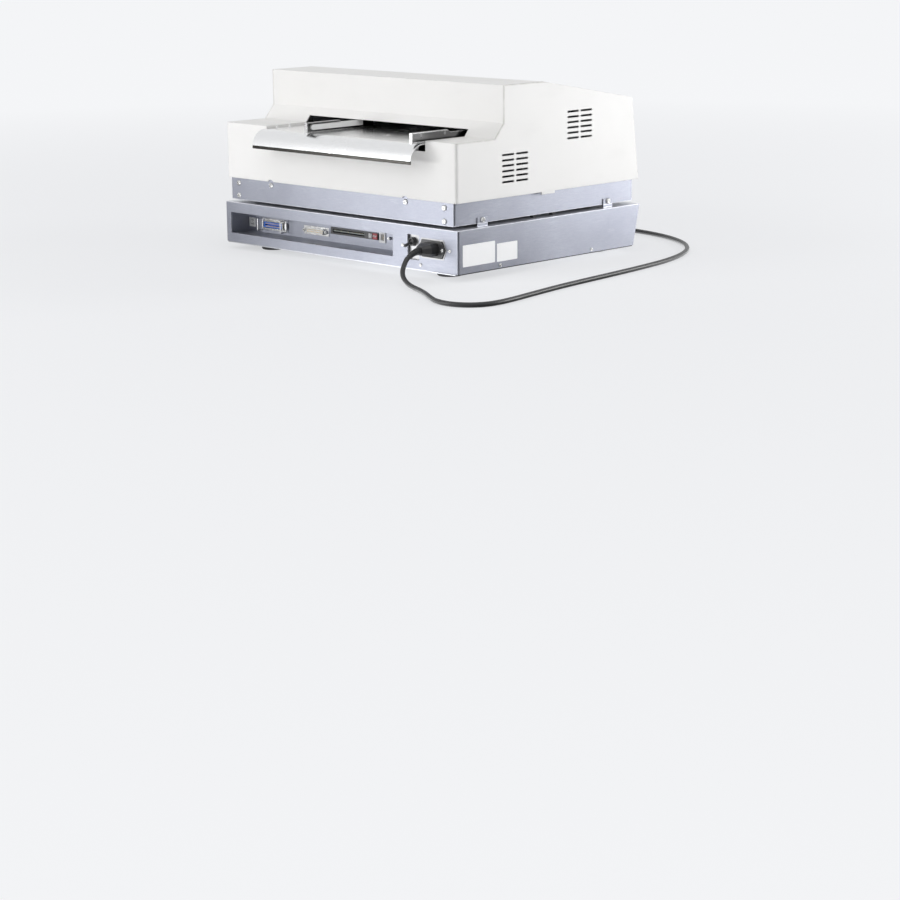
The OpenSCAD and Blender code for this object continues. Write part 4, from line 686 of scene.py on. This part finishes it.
def dressed(made, finish, carrier, replaces=()):
    """Gives a piece its finish, and lets it ride with the body of its carrier node."""
    finish = FINISHES[finish]
    if not made.data.materials:
        made.data.materials.append(finish.material)
    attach(made, BODY_OF[carrier])
    if replaces:
        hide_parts(*replaces)
    return made


def mesh_of(name, work, sharp=0.6):
    """Closes a bmesh into a mesh whose flat faces stay flat and whose round ones are smooth."""
    bmesh.ops.recalc_face_normals(work, faces=work.faces[:])
    mesh = bpy.data.meshes.new(name)
    work.to_mesh(mesh)
    work.free()
    mesh.shade_smooth()
    mesh.set_sharp_from_angle(angle=sharp)
    return mesh


def built(name, work, finish, carrier):
    """A piece made from a bmesh, dressed."""
    return dressed(piece(name, mesh_of(name, work)), finish, carrier)


def add_block(work, low, high, bevel=0.0):
    """A block between two corners, with its edges broken."""
    middle, size = (Vector(low) + Vector(high)) / 2, Vector(high) - Vector(low)
    made = bmesh.ops.create_cube(work, size=1,
                                 matrix=Matrix.Translation(middle) @ Matrix.Diagonal((*size, 1)))
    if bevel:
        edges = {edge for vert in made["verts"] for edge in vert.link_edges}
        bmesh.ops.bevel(work, geom=list(edges), offset=bevel, segments=2, profile=0.5, affect="EDGES")


def add_outline(work, corners, thickness, out):
    """A plate with this outline, thickened along out."""
    loops = [[work.verts.new(Vector(corner) + Vector(out) * step) for corner in corners]
             for step in (0, thickness)]
    work.faces.new(loops[0][::-1])
    work.faces.new(loops[1])
    for i in range(len(corners)):
        k = (i + 1) % len(corners)
        work.faces.new((loops[0][i], loops[0][k], loops[1][k], loops[1][i]))


def on_circle(radius, count):
    """The two coordinates of count points on a circle."""
    turns = [2 * math.pi * i / count for i in range(count)]
    return [(radius * math.cos(a), radius * math.sin(a)) for a in turns]


def rounded_corners(low, high, radius, steps=5):
    """Corner points of a rounded rectangle in the plane."""
    out = []
    for cx, cy, start in ((high[0], high[1], 0), (low[0], high[1], 90),
                          (low[0], low[1], 180), (high[0], low[1], 270)):
        mx = cx - radius if cx == high[0] else cx + radius
        my = cy - radius if cy == high[1] else cy + radius
        for step in range(steps + 1):
            angle = math.radians(start + 90 * step / steps)
            out.append((mx + radius * math.cos(angle), my + radius * math.sin(angle)))
    return out


def span(node):
    """The lower corner, the upper corner and the middle of a CAD node."""
    low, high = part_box(node)
    return low, high, (low + high) / 2


def solids_of(node):
    """The box of each separate solid in a CAD node, as (low, high)."""
    work = bmesh.new()
    work.from_mesh(NODES[node].data)
    bmesh.ops.remove_doubles(work, verts=work.verts[:], dist=1e-6)
    left, boxes = set(work.verts), []
    while left:
        group, edge = set(), [left.pop()]
        while edge:
            vert = edge.pop()
            group.add(vert)
            for near in (link.other_vert(vert) for link in vert.link_edges):
                if near in left:
                    left.discard(near)
                    edge.append(near)
        boxes.append(tuple(Vector(pick(vert.co[i] for vert in group) for i in range(3))
                           for pick in (min, max)))
    work.free()
    return boxes


# Mains lead: the route of the CAD source, in metres

LEAD_START = Vector((-0.193, 0.226271, 0.03582))
LEAD_DROP = [(-0.197, 0.242, 0.021), (-0.206, 0.250, 0.013), (-0.220, 0.256, 0.007),
             (-0.237, 0.261, 0.004)]
LEAD_LAY = 0.0036
LEAD_FLOOR = [(-0.256, 0.269), (-0.278, 0.281), (-0.303, 0.297), (-0.328, 0.311), (-0.353, 0.316),
              (-0.376, 0.309), (-0.391, 0.292), (-0.396, 0.268), (-0.393, 0.235), (-0.385, 0.190),
              (-0.374, 0.125), (-0.366, 0.060), (-0.359, -0.005), (-0.351, -0.070), (-0.340, -0.135),
              (-0.323, -0.190), (-0.298, -0.238), (-0.264, -0.277), (-0.222, -0.306), (-0.174, -0.326),
              (-0.122, -0.337), (-0.068, -0.340)]
LEAD_ROUTE = LEAD_DROP + [(x, y, LEAD_LAY) for x, y in LEAD_FLOOR]
RELIEF_DROP = math.radians(36)
COIL_STEPS = 24
COIL_TAIL = 0.008


def smooth_curve(points, steps):
    """A smooth curve through the points, with steps to each."""
    at = lambda i: points[max(0, min(len(points) - 1, i))]
    out = []
    for i in range(len(points) - 1):
        a, b, c, d = at(i - 1), at(i), at(i + 1), at(i + 2)
        for k in range(steps):
            t = k / steps
            out.append(0.5 * (2 * b + (c - a) * t + (2 * a - 5 * b + 4 * c - d) * t * t
                              + (3 * b - a - 3 * c + d) * t ** 3))
    return out + [points[-1]]


def coil_points(start, lead):
    """Two layers of turns: spiralling in below, out above, and a straight end to the wall plug."""
    pitch = 2 * lead.radius + lead.gap
    outer = lead.coil + pitch * (lead.turns - 1) / 2 + pitch / 2
    centre = start + Vector((COIL_TAIL, outer, 0))
    count = lead.turns * COIL_STEPS
    out = [start, start + Vector((2 * lead.radius, 0, 0))]
    for i in range(2 * count + 1):
        radius = outer - pitch / COIL_STEPS * (i if i <= count else 2 * count - i)
        climb = max(0.0, min(1.0, (i - count + COIL_STEPS / 4) / (COIL_STEPS / 2)))
        angle = 2 * math.pi * i / COIL_STEPS
        out.append(centre + Vector((radius * math.sin(angle), -radius * math.cos(angle),
                                    pitch * climb * climb * (3 - 2 * climb))))
    return out + [out[-1] + Vector((outer, 0, 0))], centre, outer, pitch


class PRINTER_OT_finishes(bpy.types.Operator):
    """Make the finishes and give each CAD node its own"""

    bl_idname = "printer.finishes"
    bl_label = "Finishes"

    def execute(self, context):
        make_finishes(context.scene.printer_paint, context.scene.printer_labels)
        for node, made in NODES.items():
            finish = FINISHES[NODE_FINISH[node]]
            made.data.materials.clear()
            made.data.materials.append(finish.material)
        return {"FINISHED"}


class PRINTER_OT_lead(bpy.types.Operator):
    """Lay the mains lead along its route and wind its spare length into a tied coil"""

    bl_idname = "printer.lead"
    bl_label = "Mains lead"

    def execute(self, context):
        lead = context.scene.printer_lead
        first = Vector((0, math.cos(RELIEF_DROP), -math.sin(RELIEF_DROP)))
        route = [LEAD_START, LEAD_START + 2 * lead.radius * first]
        route += [Vector(point) for point in LEAD_ROUTE]
        coil, centre, outer, pitch = coil_points(route[-1], lead)
        low, high = (Vector(corner) for corner in CAD_BOX)
        line = [Vector((max(p.x, low.x + lead.radius), min(p.y, high.y - lead.radius), p.z))
                for p in smooth_curve(route, 6)[:-1] + coil]
        curve = bpy.data.curves.new("mains_lead", "CURVE")
        curve.dimensions, curve.bevel_depth, curve.bevel_resolution = "3D", lead.radius, 4
        curve.use_fill_caps = True
        spline = curve.splines.new("POLY")
        spline.points.add(len(line) - 1)
        for point, place in zip(spline.points, line):
            point.co = (*place, 1)
        cable = dressed(piece("mains_lead", curve), "lead", "plug", ("lead_free", "lead_coil"))
        tie = self.tie(centre, outer, pitch, lead)
        return {"FINISHED"}

    def tie(self, centre, outer, pitch, lead):
        """A band round the turns at one place of the coil."""
        work = bmesh.new()
        inner = outer - pitch * lead.turns
        way = Vector((math.cos(2.2), math.sin(2.2), 0))
        side = Vector((-way.y, way.x, 0))
        near, far = inner - lead.radius - 0.0012, outer + lead.radius + 0.0004
        low, high = 0.0002, pitch + 2 * lead.radius + 0.0008
        loops = []
        for grow in (0.0, 0.0007):
            corners = rounded_corners((near - grow, max(low - grow, 0.0001)), (far + grow, high + grow),
                                      0.003 + grow)
            loops.append([[work.verts.new(centre + way * a + side * b + Vector((0, 0, h - centre.z)))
                           for a, h in corners] for b in (-0.004, 0.004)])
        count = len(loops[0][0])
        for i in range(count):
            k = (i + 1) % count
            (a0, a1), (b0, b1) = loops
            work.faces.new((b0[i], b0[k], b1[k], b1[i]))
            work.faces.new((a0[k], a0[i], a1[i], a1[k]))
            work.faces.new((a0[i], a0[k], b0[k], b0[i]))
            work.faces.new((b1[i], b1[k], a1[k], a1[i]))
        return built("coil_tie", work, "rubber", "plug")


class PRINTER_OT_screws(bpy.types.Operator):
    """Put a domed cross-recess screw over each screw solid, and the white tray pins"""

    bl_idname = "printer.screws"
    bl_label = "Screws and pins"

    def execute(self, context):
        screws = context.scene.printer_screws
        sizes, pins, post = {}, [], None
        for low, high in solids_of("machine_screws"):
            size, middle = high - low, (low + high) / 2
            axis = min(range(3), key=lambda i: abs(size[i] - min(size)))
            if high.z > 0.18:
                pins.append((low, high))
            elif size.y > 1.05 * size.z:
                post = (low, high)
            else:
                way = Vector((0, 0, 0))
                way[axis] = -1.0 if axis == 0 and middle.x < 0 else 1.0
                seat = middle.copy()
                seat[axis] = low[axis] if way[axis] > 0 else high[axis]
                key = (round(max(size) / 2, 4), round(min(size), 4))
                sizes.setdefault(key, []).append((seat, way))
        recipe = screw_recipe(FINISHES["nickel"])
        for (radius, height), heads in sorted(sizes.items()):
            name = "screws_%02d" % round(radius * 20000)
            mesh = points_mesh(name, [seat for seat, _ in heads], [way for _, way in heads])
            part = recipe.made(name, mesh, {
                "Radius": radius, "Height": height, "Recess Width": screws.recess * radius / HEAD_RADIUS,
                "Recess Depth": screws.depth * height / HEAD_HEIGHT, "Seed": screws.seed})
            dressed(part, "nickel", "machine_screws")
        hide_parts("machine_screws")
        work = bmesh.new()
        for low, high in pins:
            self.pin(work, low, high)
        built("tray_pins", work, "white", "machine_screws")
        self.standoff(post)
        return {"FINISHED"}

    def pin(self, work, low, high):
        """A turned pin with a waist and a rounded top."""
        radius, height = (high.x - low.x) / 2, high.z - low.z
        middle = Vector(((low.x + high.x) / 2, (low.y + high.y) / 2, low.z))
        profile = [(1.0, 0.0), (1.0, 0.16), (0.78, 0.26), (0.78, 0.62),
                   (0.95, 0.72), (0.95, 0.88), (0.7, 0.97), (0.35, 1.0)]
        rings = [[work.verts.new(middle + Vector((x, y, height * h)))
                  for x, y in on_circle(radius * r, 24)] for r, h in profile]
        for below, above in zip(rings, rings[1:]):
            for i in range(24):
                k = (i + 1) % 24
                work.faces.new((below[i], below[k], above[k], above[i]))
        work.faces.new(rings[0][::-1])
        work.faces.new(rings[-1])

    def standoff(self, box):
        """The six-sided post beside the spare socket."""
        low, high = box
        work = bmesh.new()
        radius = (high.x - low.x) / 2
        middle = Vector(((low.x + high.x) / 2, low.y, (low.z + high.z) / 2))
        corners = [middle + Vector((x, 0, z)) for x, z in on_circle(radius, 6)]
        add_outline(work, corners, (high.y - low.y) * 0.8, (0, 1, 0))
        neck = [middle + Vector((x, (high.y - low.y) * 0.8, z)) for x, z in on_circle(radius * 0.55, 20)]
        add_outline(work, neck, (high.y - low.y) * 0.2, (0, 1, 0))
        built("standoff", work, "nickel", "machine_screws")


# The blank labels on the box's side: name, lower and upper corner as (y, z)
LABELS = [("label_large", (0.1077, 0.0203), (0.1709, 0.0499)),
          ("label_small", (0.0629, 0.0200), (0.1039, 0.0452))]


class PRINTER_OT_labels(bpy.types.Operator):
    """Stick the two blank labels to the side of the interface box"""

    bl_idname = "printer.labels"
    bl_label = "Blank labels"

    def execute(self, context):
        labels = context.scene.printer_labels
        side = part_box("box_wrap")[0].x
        for name, low, high in LABELS:
            work = bmesh.new()
            corners = [(side, y, z) for y, z in rounded_corners(low, high, labels.corner)]
            add_outline(work, corners, labels.thickness, (-1, 0, 0))
            built(name, work, "label", "box_wrap")
        return {"FINISHED"}


class PRINTER_OT_contacts(bpy.types.Operator):
    """Fill the sockets in the recess with their contacts and holes"""

    bl_idname = "printer.contacts"
    bl_label = "Contacts"

    def execute(self, context):
        pins = pin_recipe("round_contacts", FINISHES["gold"])
        holes = pin_recipe("contact_holes", FINISHES["hole"])
        strips = block_recipe("contact_strips", FINISHES["gold"])
        low, high, middle = span("serial_insert")
        rows = [(13, 0.00142), (12, -0.00142)]
        places = [(middle.x + (i - (count - 1) / 2) * 0.00276, high.y, middle.z + up)
                  for count, up in rows for i in range(count)]
        rims = pins.made("serial_rims", points_mesh("serial_rims", places),
                         {"Radius": 0.00082, "Length": 0.0003})
        dressed(rims, "gold", "serial_insert")
        # Painted shade: black discs stand in for the shade inside the serial insert's holes.
        bores = holes.made("serial_holes", points_mesh("serial_holes", places),
                           {"Radius": 0.00052, "Length": 0.0005})
        dressed(bores, "hole", "serial_insert")
        low, high, middle = span("parallel_insert")
        places = [(middle.x + (i - 8.5) * 0.0018, high.y - 0.0012, middle.z + side * (high.z - low.z) / 4)
                  for i in range(18) for side in (-1, 1)]
        ribs = strips.made("parallel_contacts", points_mesh("parallel_contacts", places),
                           {"Width": 0.0009, "Depth": 0.0028, "Height": 0.0012})
        dressed(ribs, "gold", "parallel_insert")
        low, high, middle = span("aux_socket")
        places = [(middle.x, low.y + 0.008, middle.z + (i - 1.5) * 0.0020) for i in range(4)]
        dressed(pins.made("spare_contacts", points_mesh("spare_contacts", places),
                          {"Radius": 0.0004, "Length": 0.005}),
                "gold", "aux_socket")
        return {"FINISHED"}


# Where the white header starts and ends along the recess
HEADER_SPAN = (-0.0374, -0.0314)


class PRINTER_OT_details(bpy.types.Operator):
    """Fit the small parts beside the option card and the plate behind the mains inlet"""

    bl_idname = "printer.details"
    bl_label = "Small parts"

    def execute(self, context):
        self.connector()
        self.sliders()
        self.fingers()
        self.inlet_plate()
        return {"FINISHED"}

    def connector(self):
        """White header between the card slot and the DIP switch."""
        low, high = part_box("card_bezel")
        middle = (low.z + high.z) / 2
        work = bmesh.new()
        start, end = HEADER_SPAN
        add_block(work, (start, high.y, middle - 0.0034), (end, high.y + 0.0011, middle + 0.0034), 0.0003)
        for i in range(3):
            x = start + 0.0012 + 0.0018 * i
            add_block(work, (x - 0.0004, high.y + 0.0011, middle - 0.0024),
                      (x + 0.0004, high.y + 0.0014, middle + 0.0024), 0.0001)
        built("card_header", work, "white", "card_bezel")

    def sliders(self):
        low, high, middle = span("dip_switch")
        places = [(middle.x + (i - 1.5) * 0.0018, high.y, middle.z + (0.0006, -0.0006, 0.0006, 0.0006)[i])
                  for i in range(4)]
        recipe = block_recipe("dip_sliders", FINISHES["white"])
        made = recipe.made("dip_sliders", points_mesh("dip_sliders", places),
                           {"Width": 0.0010, "Depth": 0.0009, "Height": 0.0022})
        dressed(made, "white", "dip_switch")

    def fingers(self):
        """Gold fingers along the edge of the option card."""
        low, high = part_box("option_card")
        count = 30
        places = [(low.x + (high.x - low.x) * (i + 0.5) / count, high.y - 0.0018, high.z)
                  for i in range(count)]
        recipe = block_recipe("card_fingers", FINISHES["gold"])
        made = recipe.made("card_fingers", points_mesh("card_fingers", places),
                           {"Width": 0.0012, "Depth": 0.0034, "Height": 0.0002})
        dressed(made, "gold", "option_card")

    def inlet_plate(self):
        """Thin plated frame behind the inlet's six-sided flange."""
        low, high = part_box("inlet")
        middle, half = (low + high) / 2, (high - low) / 2 + Vector((0.0022, 0, 0.0018))
        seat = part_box("rear_panel")[1].y
        corners = [(middle.x + half.x * a, seat, middle.z + half.z * b)
                   for a, b in ((-1, 0), (-0.78, -1), (0.78, -1), (1, 0), (0.78, 1), (-0.78, 1))]
        work = bmesh.new()
        add_outline(work, corners, 0.0005, (0, 1, 0))
        built("inlet_frame", work, "bracket", "inlet")


# The photograph's view: azimuth, elevation and roll in degrees, place in metres, lens in millimetres
CAMERA_ANGLES = (224.639, 13.789, -0.4606)
CAMERA_PLACE = Vector((-2.3180, 2.30265, 0.4977))
CAMERA_LENS = 89.13


class PRINTER_OT_stage(bpy.types.Operator):
    """Build the floor, the lights and the camera at the photograph's angle"""

    bl_idname = "printer.stage"
    bl_label = "Stage"

    def execute(self, context):
        stage = context.scene.printer_stage
        self.floor(stage)
        self.world(context.scene)
        self.light("key_light", (1.3, 2.9, 1.5), (1.8, 1.8), stage.key)
        self.light("rear_strip", (0.80, 1.25, 0.10), (0.5, 0.16), stage.low)
        self.light("side_strip", (-0.95, -1.05, 0.10), (0.5, 0.16), stage.low * 0.35)
        self.light("fill_light", (-1.7, -2.3, 0.7), (1.4, 1.2), stage.fill)
        self.light("top_light", (-1.2, 1.2, 3.6), (3.2, 3.2), stage.top)
        self.camera(context.scene)
        context.scene.view_settings.view_transform = "Standard"
        return {"FINISHED"}

    def floor(self, stage):
        work = bmesh.new()
        bmesh.ops.create_grid(work, x_segments=2, y_segments=2, size=40)
        made = piece("floor", mesh_of("floor", work))
        made.data.materials.append(self.floor_finish(stage))
        made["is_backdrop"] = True

    def floor_finish(self, stage):
        """Pale matt floor that keeps its shadows; in gloss it glows as a card brighter on one side, a
        painted reflection for the metal.
        """
        material = bpy.data.materials.new("floor")
        material.use_nodes = True
        g = Graph(material.node_tree)
        g.tree.nodes.clear()
        matt = g.node("ShaderNodeBsdfDiffuse", None, {"Color": (*stage.floor, 1)})
        place = g.node("ShaderNodeTexCoord", out="Object")
        away = g.node("ShaderNodeVectorMath", {"operation": "LENGTH"}, {0: place}, out="Value")
        camera, gloss, through = g.rays()
        x, y, _ = g.axes(place)
        across, out = x - y, x + y
        # Painted reflection: glossy rays see the floor glow brighter near the rear and along the side.
        rear = out.held(-0.1, 0.1)
        lit = (1 - across.held(-0.42, 0.05)) * (1 - out.held(0.4, 1.2) * 0.68) * rear * 0.95
        lit = lit + across.held(-0.38, -0.05) * (1 - rear) * 0.6
        dim, plain, bright = (
            g.node("ShaderNodeEmission", None, {"Color": (0.925, 0.933, 0.95, 1), "Strength": strength})
            for strength in (stage.dim, 1.0, stage.bright))
        mirrored = g.node("ShaderNodeMixShader", None, {0: lit, 1: dim, 2: bright})
        share = (camera + through).held(0, 1) * (away.held(0.6, 2.6) * 0.36 + 0.60)
        surface = g.node("ShaderNodeMixShader", None, {0: share, 1: matt, 2: plain})
        surface = g.node("ShaderNodeMixShader", None, {0: gloss, 1: surface, 2: mirrored})
        g.node("ShaderNodeOutputMaterial", None, {"Surface": surface})
        return material

    def world(self, scene):
        world = bpy.data.worlds.new("studio")
        world.use_nodes = True
        g = Graph(world.node_tree)
        g.tree.nodes.clear()
        camera, gloss, through = g.rays()
        seen = (camera + gloss + through).held(0, 1)
        room = g.node("ShaderNodeBackground", None, {"Color": (0.96, 0.97, 1.0, 1), "Strength": 0.50})
        white = g.node("ShaderNodeBackground", None, {"Color": (0.94, 0.95, 0.96, 1), "Strength": 1.0})
        g.node("ShaderNodeOutputWorld", None,
               {"Surface": g.node("ShaderNodeMixShader", None, {0: seen, 1: room, 2: white})})
        scene.world = world

    def light(self, name, place, size, power):
        data = bpy.data.lights.new(name, "AREA")
        data.shape, data.size, data.size_y, data.energy = "RECTANGLE", size[0], size[1], power
        lamp_object = bpy.data.objects.new(name, data)
        lamp_object.location = place
        aim = Vector((0, 0, 0.12)) - Vector(place)
        lamp_object.rotation_euler = aim.to_track_quat("-Z", "Y").to_euler()
        bpy.context.scene.collection.objects.link(lamp_object)

    def camera(self, scene):
        azimuth, elevation, roll = (math.radians(angle) for angle in CAMERA_ANGLES)
        back = Vector((math.sin(azimuth) * math.cos(elevation), -math.cos(azimuth) * math.cos(elevation),
                       math.sin(elevation)))
        right = (-back).cross(Vector((0, 0, 1))).normalized()
        up = right.cross(-back)
        across = math.cos(roll) * right + math.sin(roll) * up
        above = -math.sin(roll) * right + math.cos(roll) * up
        data = bpy.data.cameras.new("camera")
        data.sensor_width, data.lens, data.clip_end = 36.0, CAMERA_LENS, 100.0
        made = bpy.data.objects.new("camera", data)
        turned = Matrix((across, above, back)).transposed().to_4x4()
        made.matrix_world = Matrix.Translation(CAMERA_PLACE) @ turned
        scene.collection.objects.link(made)
        scene.camera = made


class PRINTER_PT_panel(bpy.types.Panel):
    """The printer's builders and settings"""

    bl_idname = "PRINTER_PT_panel"
    bl_label = "Label printer"
    bl_space_type = "VIEW_3D"
    bl_region_type = "UI"
    bl_category = "Printer"

    def draw(self, context):
        for operator in OPERATORS:
            self.layout.operator(operator.bl_idname)
        for name, kind in SETTINGS.items():
            box = self.layout.box()
            for label in kind.__annotations__:
                box.prop(getattr(context.scene, name), label)


SETTINGS = {
    "printer_paint": PaintSettings, "printer_lead": LeadSettings, "printer_labels": LabelSettings,
    "printer_screws": ScrewSettings, "printer_stage": StageSettings,
}
OPERATORS = [PRINTER_OT_stage, PRINTER_OT_finishes, PRINTER_OT_lead, PRINTER_OT_screws, PRINTER_OT_labels,
             PRINTER_OT_contacts, PRINTER_OT_details]


def register():
    for name, kind in SETTINGS.items():
        bpy.utils.register_class(kind)
        setattr(bpy.types.Scene, name, PointerProperty(type=kind))
    for kind in OPERATORS + [PRINTER_PT_panel]:
        bpy.utils.register_class(kind)


def unregister():
    for kind in [PRINTER_PT_panel] + OPERATORS[::-1]:
        bpy.utils.unregister_class(kind)
    for name, kind in SETTINGS.items():
        delattr(bpy.types.Scene, name)
        bpy.utils.unregister_class(kind)


def main():
    register()
    for operator in OPERATORS:
        group, name = operator.bl_idname.split(".")
        getattr(getattr(bpy.ops, group), name)()
    box = lambda corners: [list(corner) for corner in corners]
    {"cad": box(CAD_BOX), "visual": box(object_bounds())}


if __name__ == "__main__":
    main()
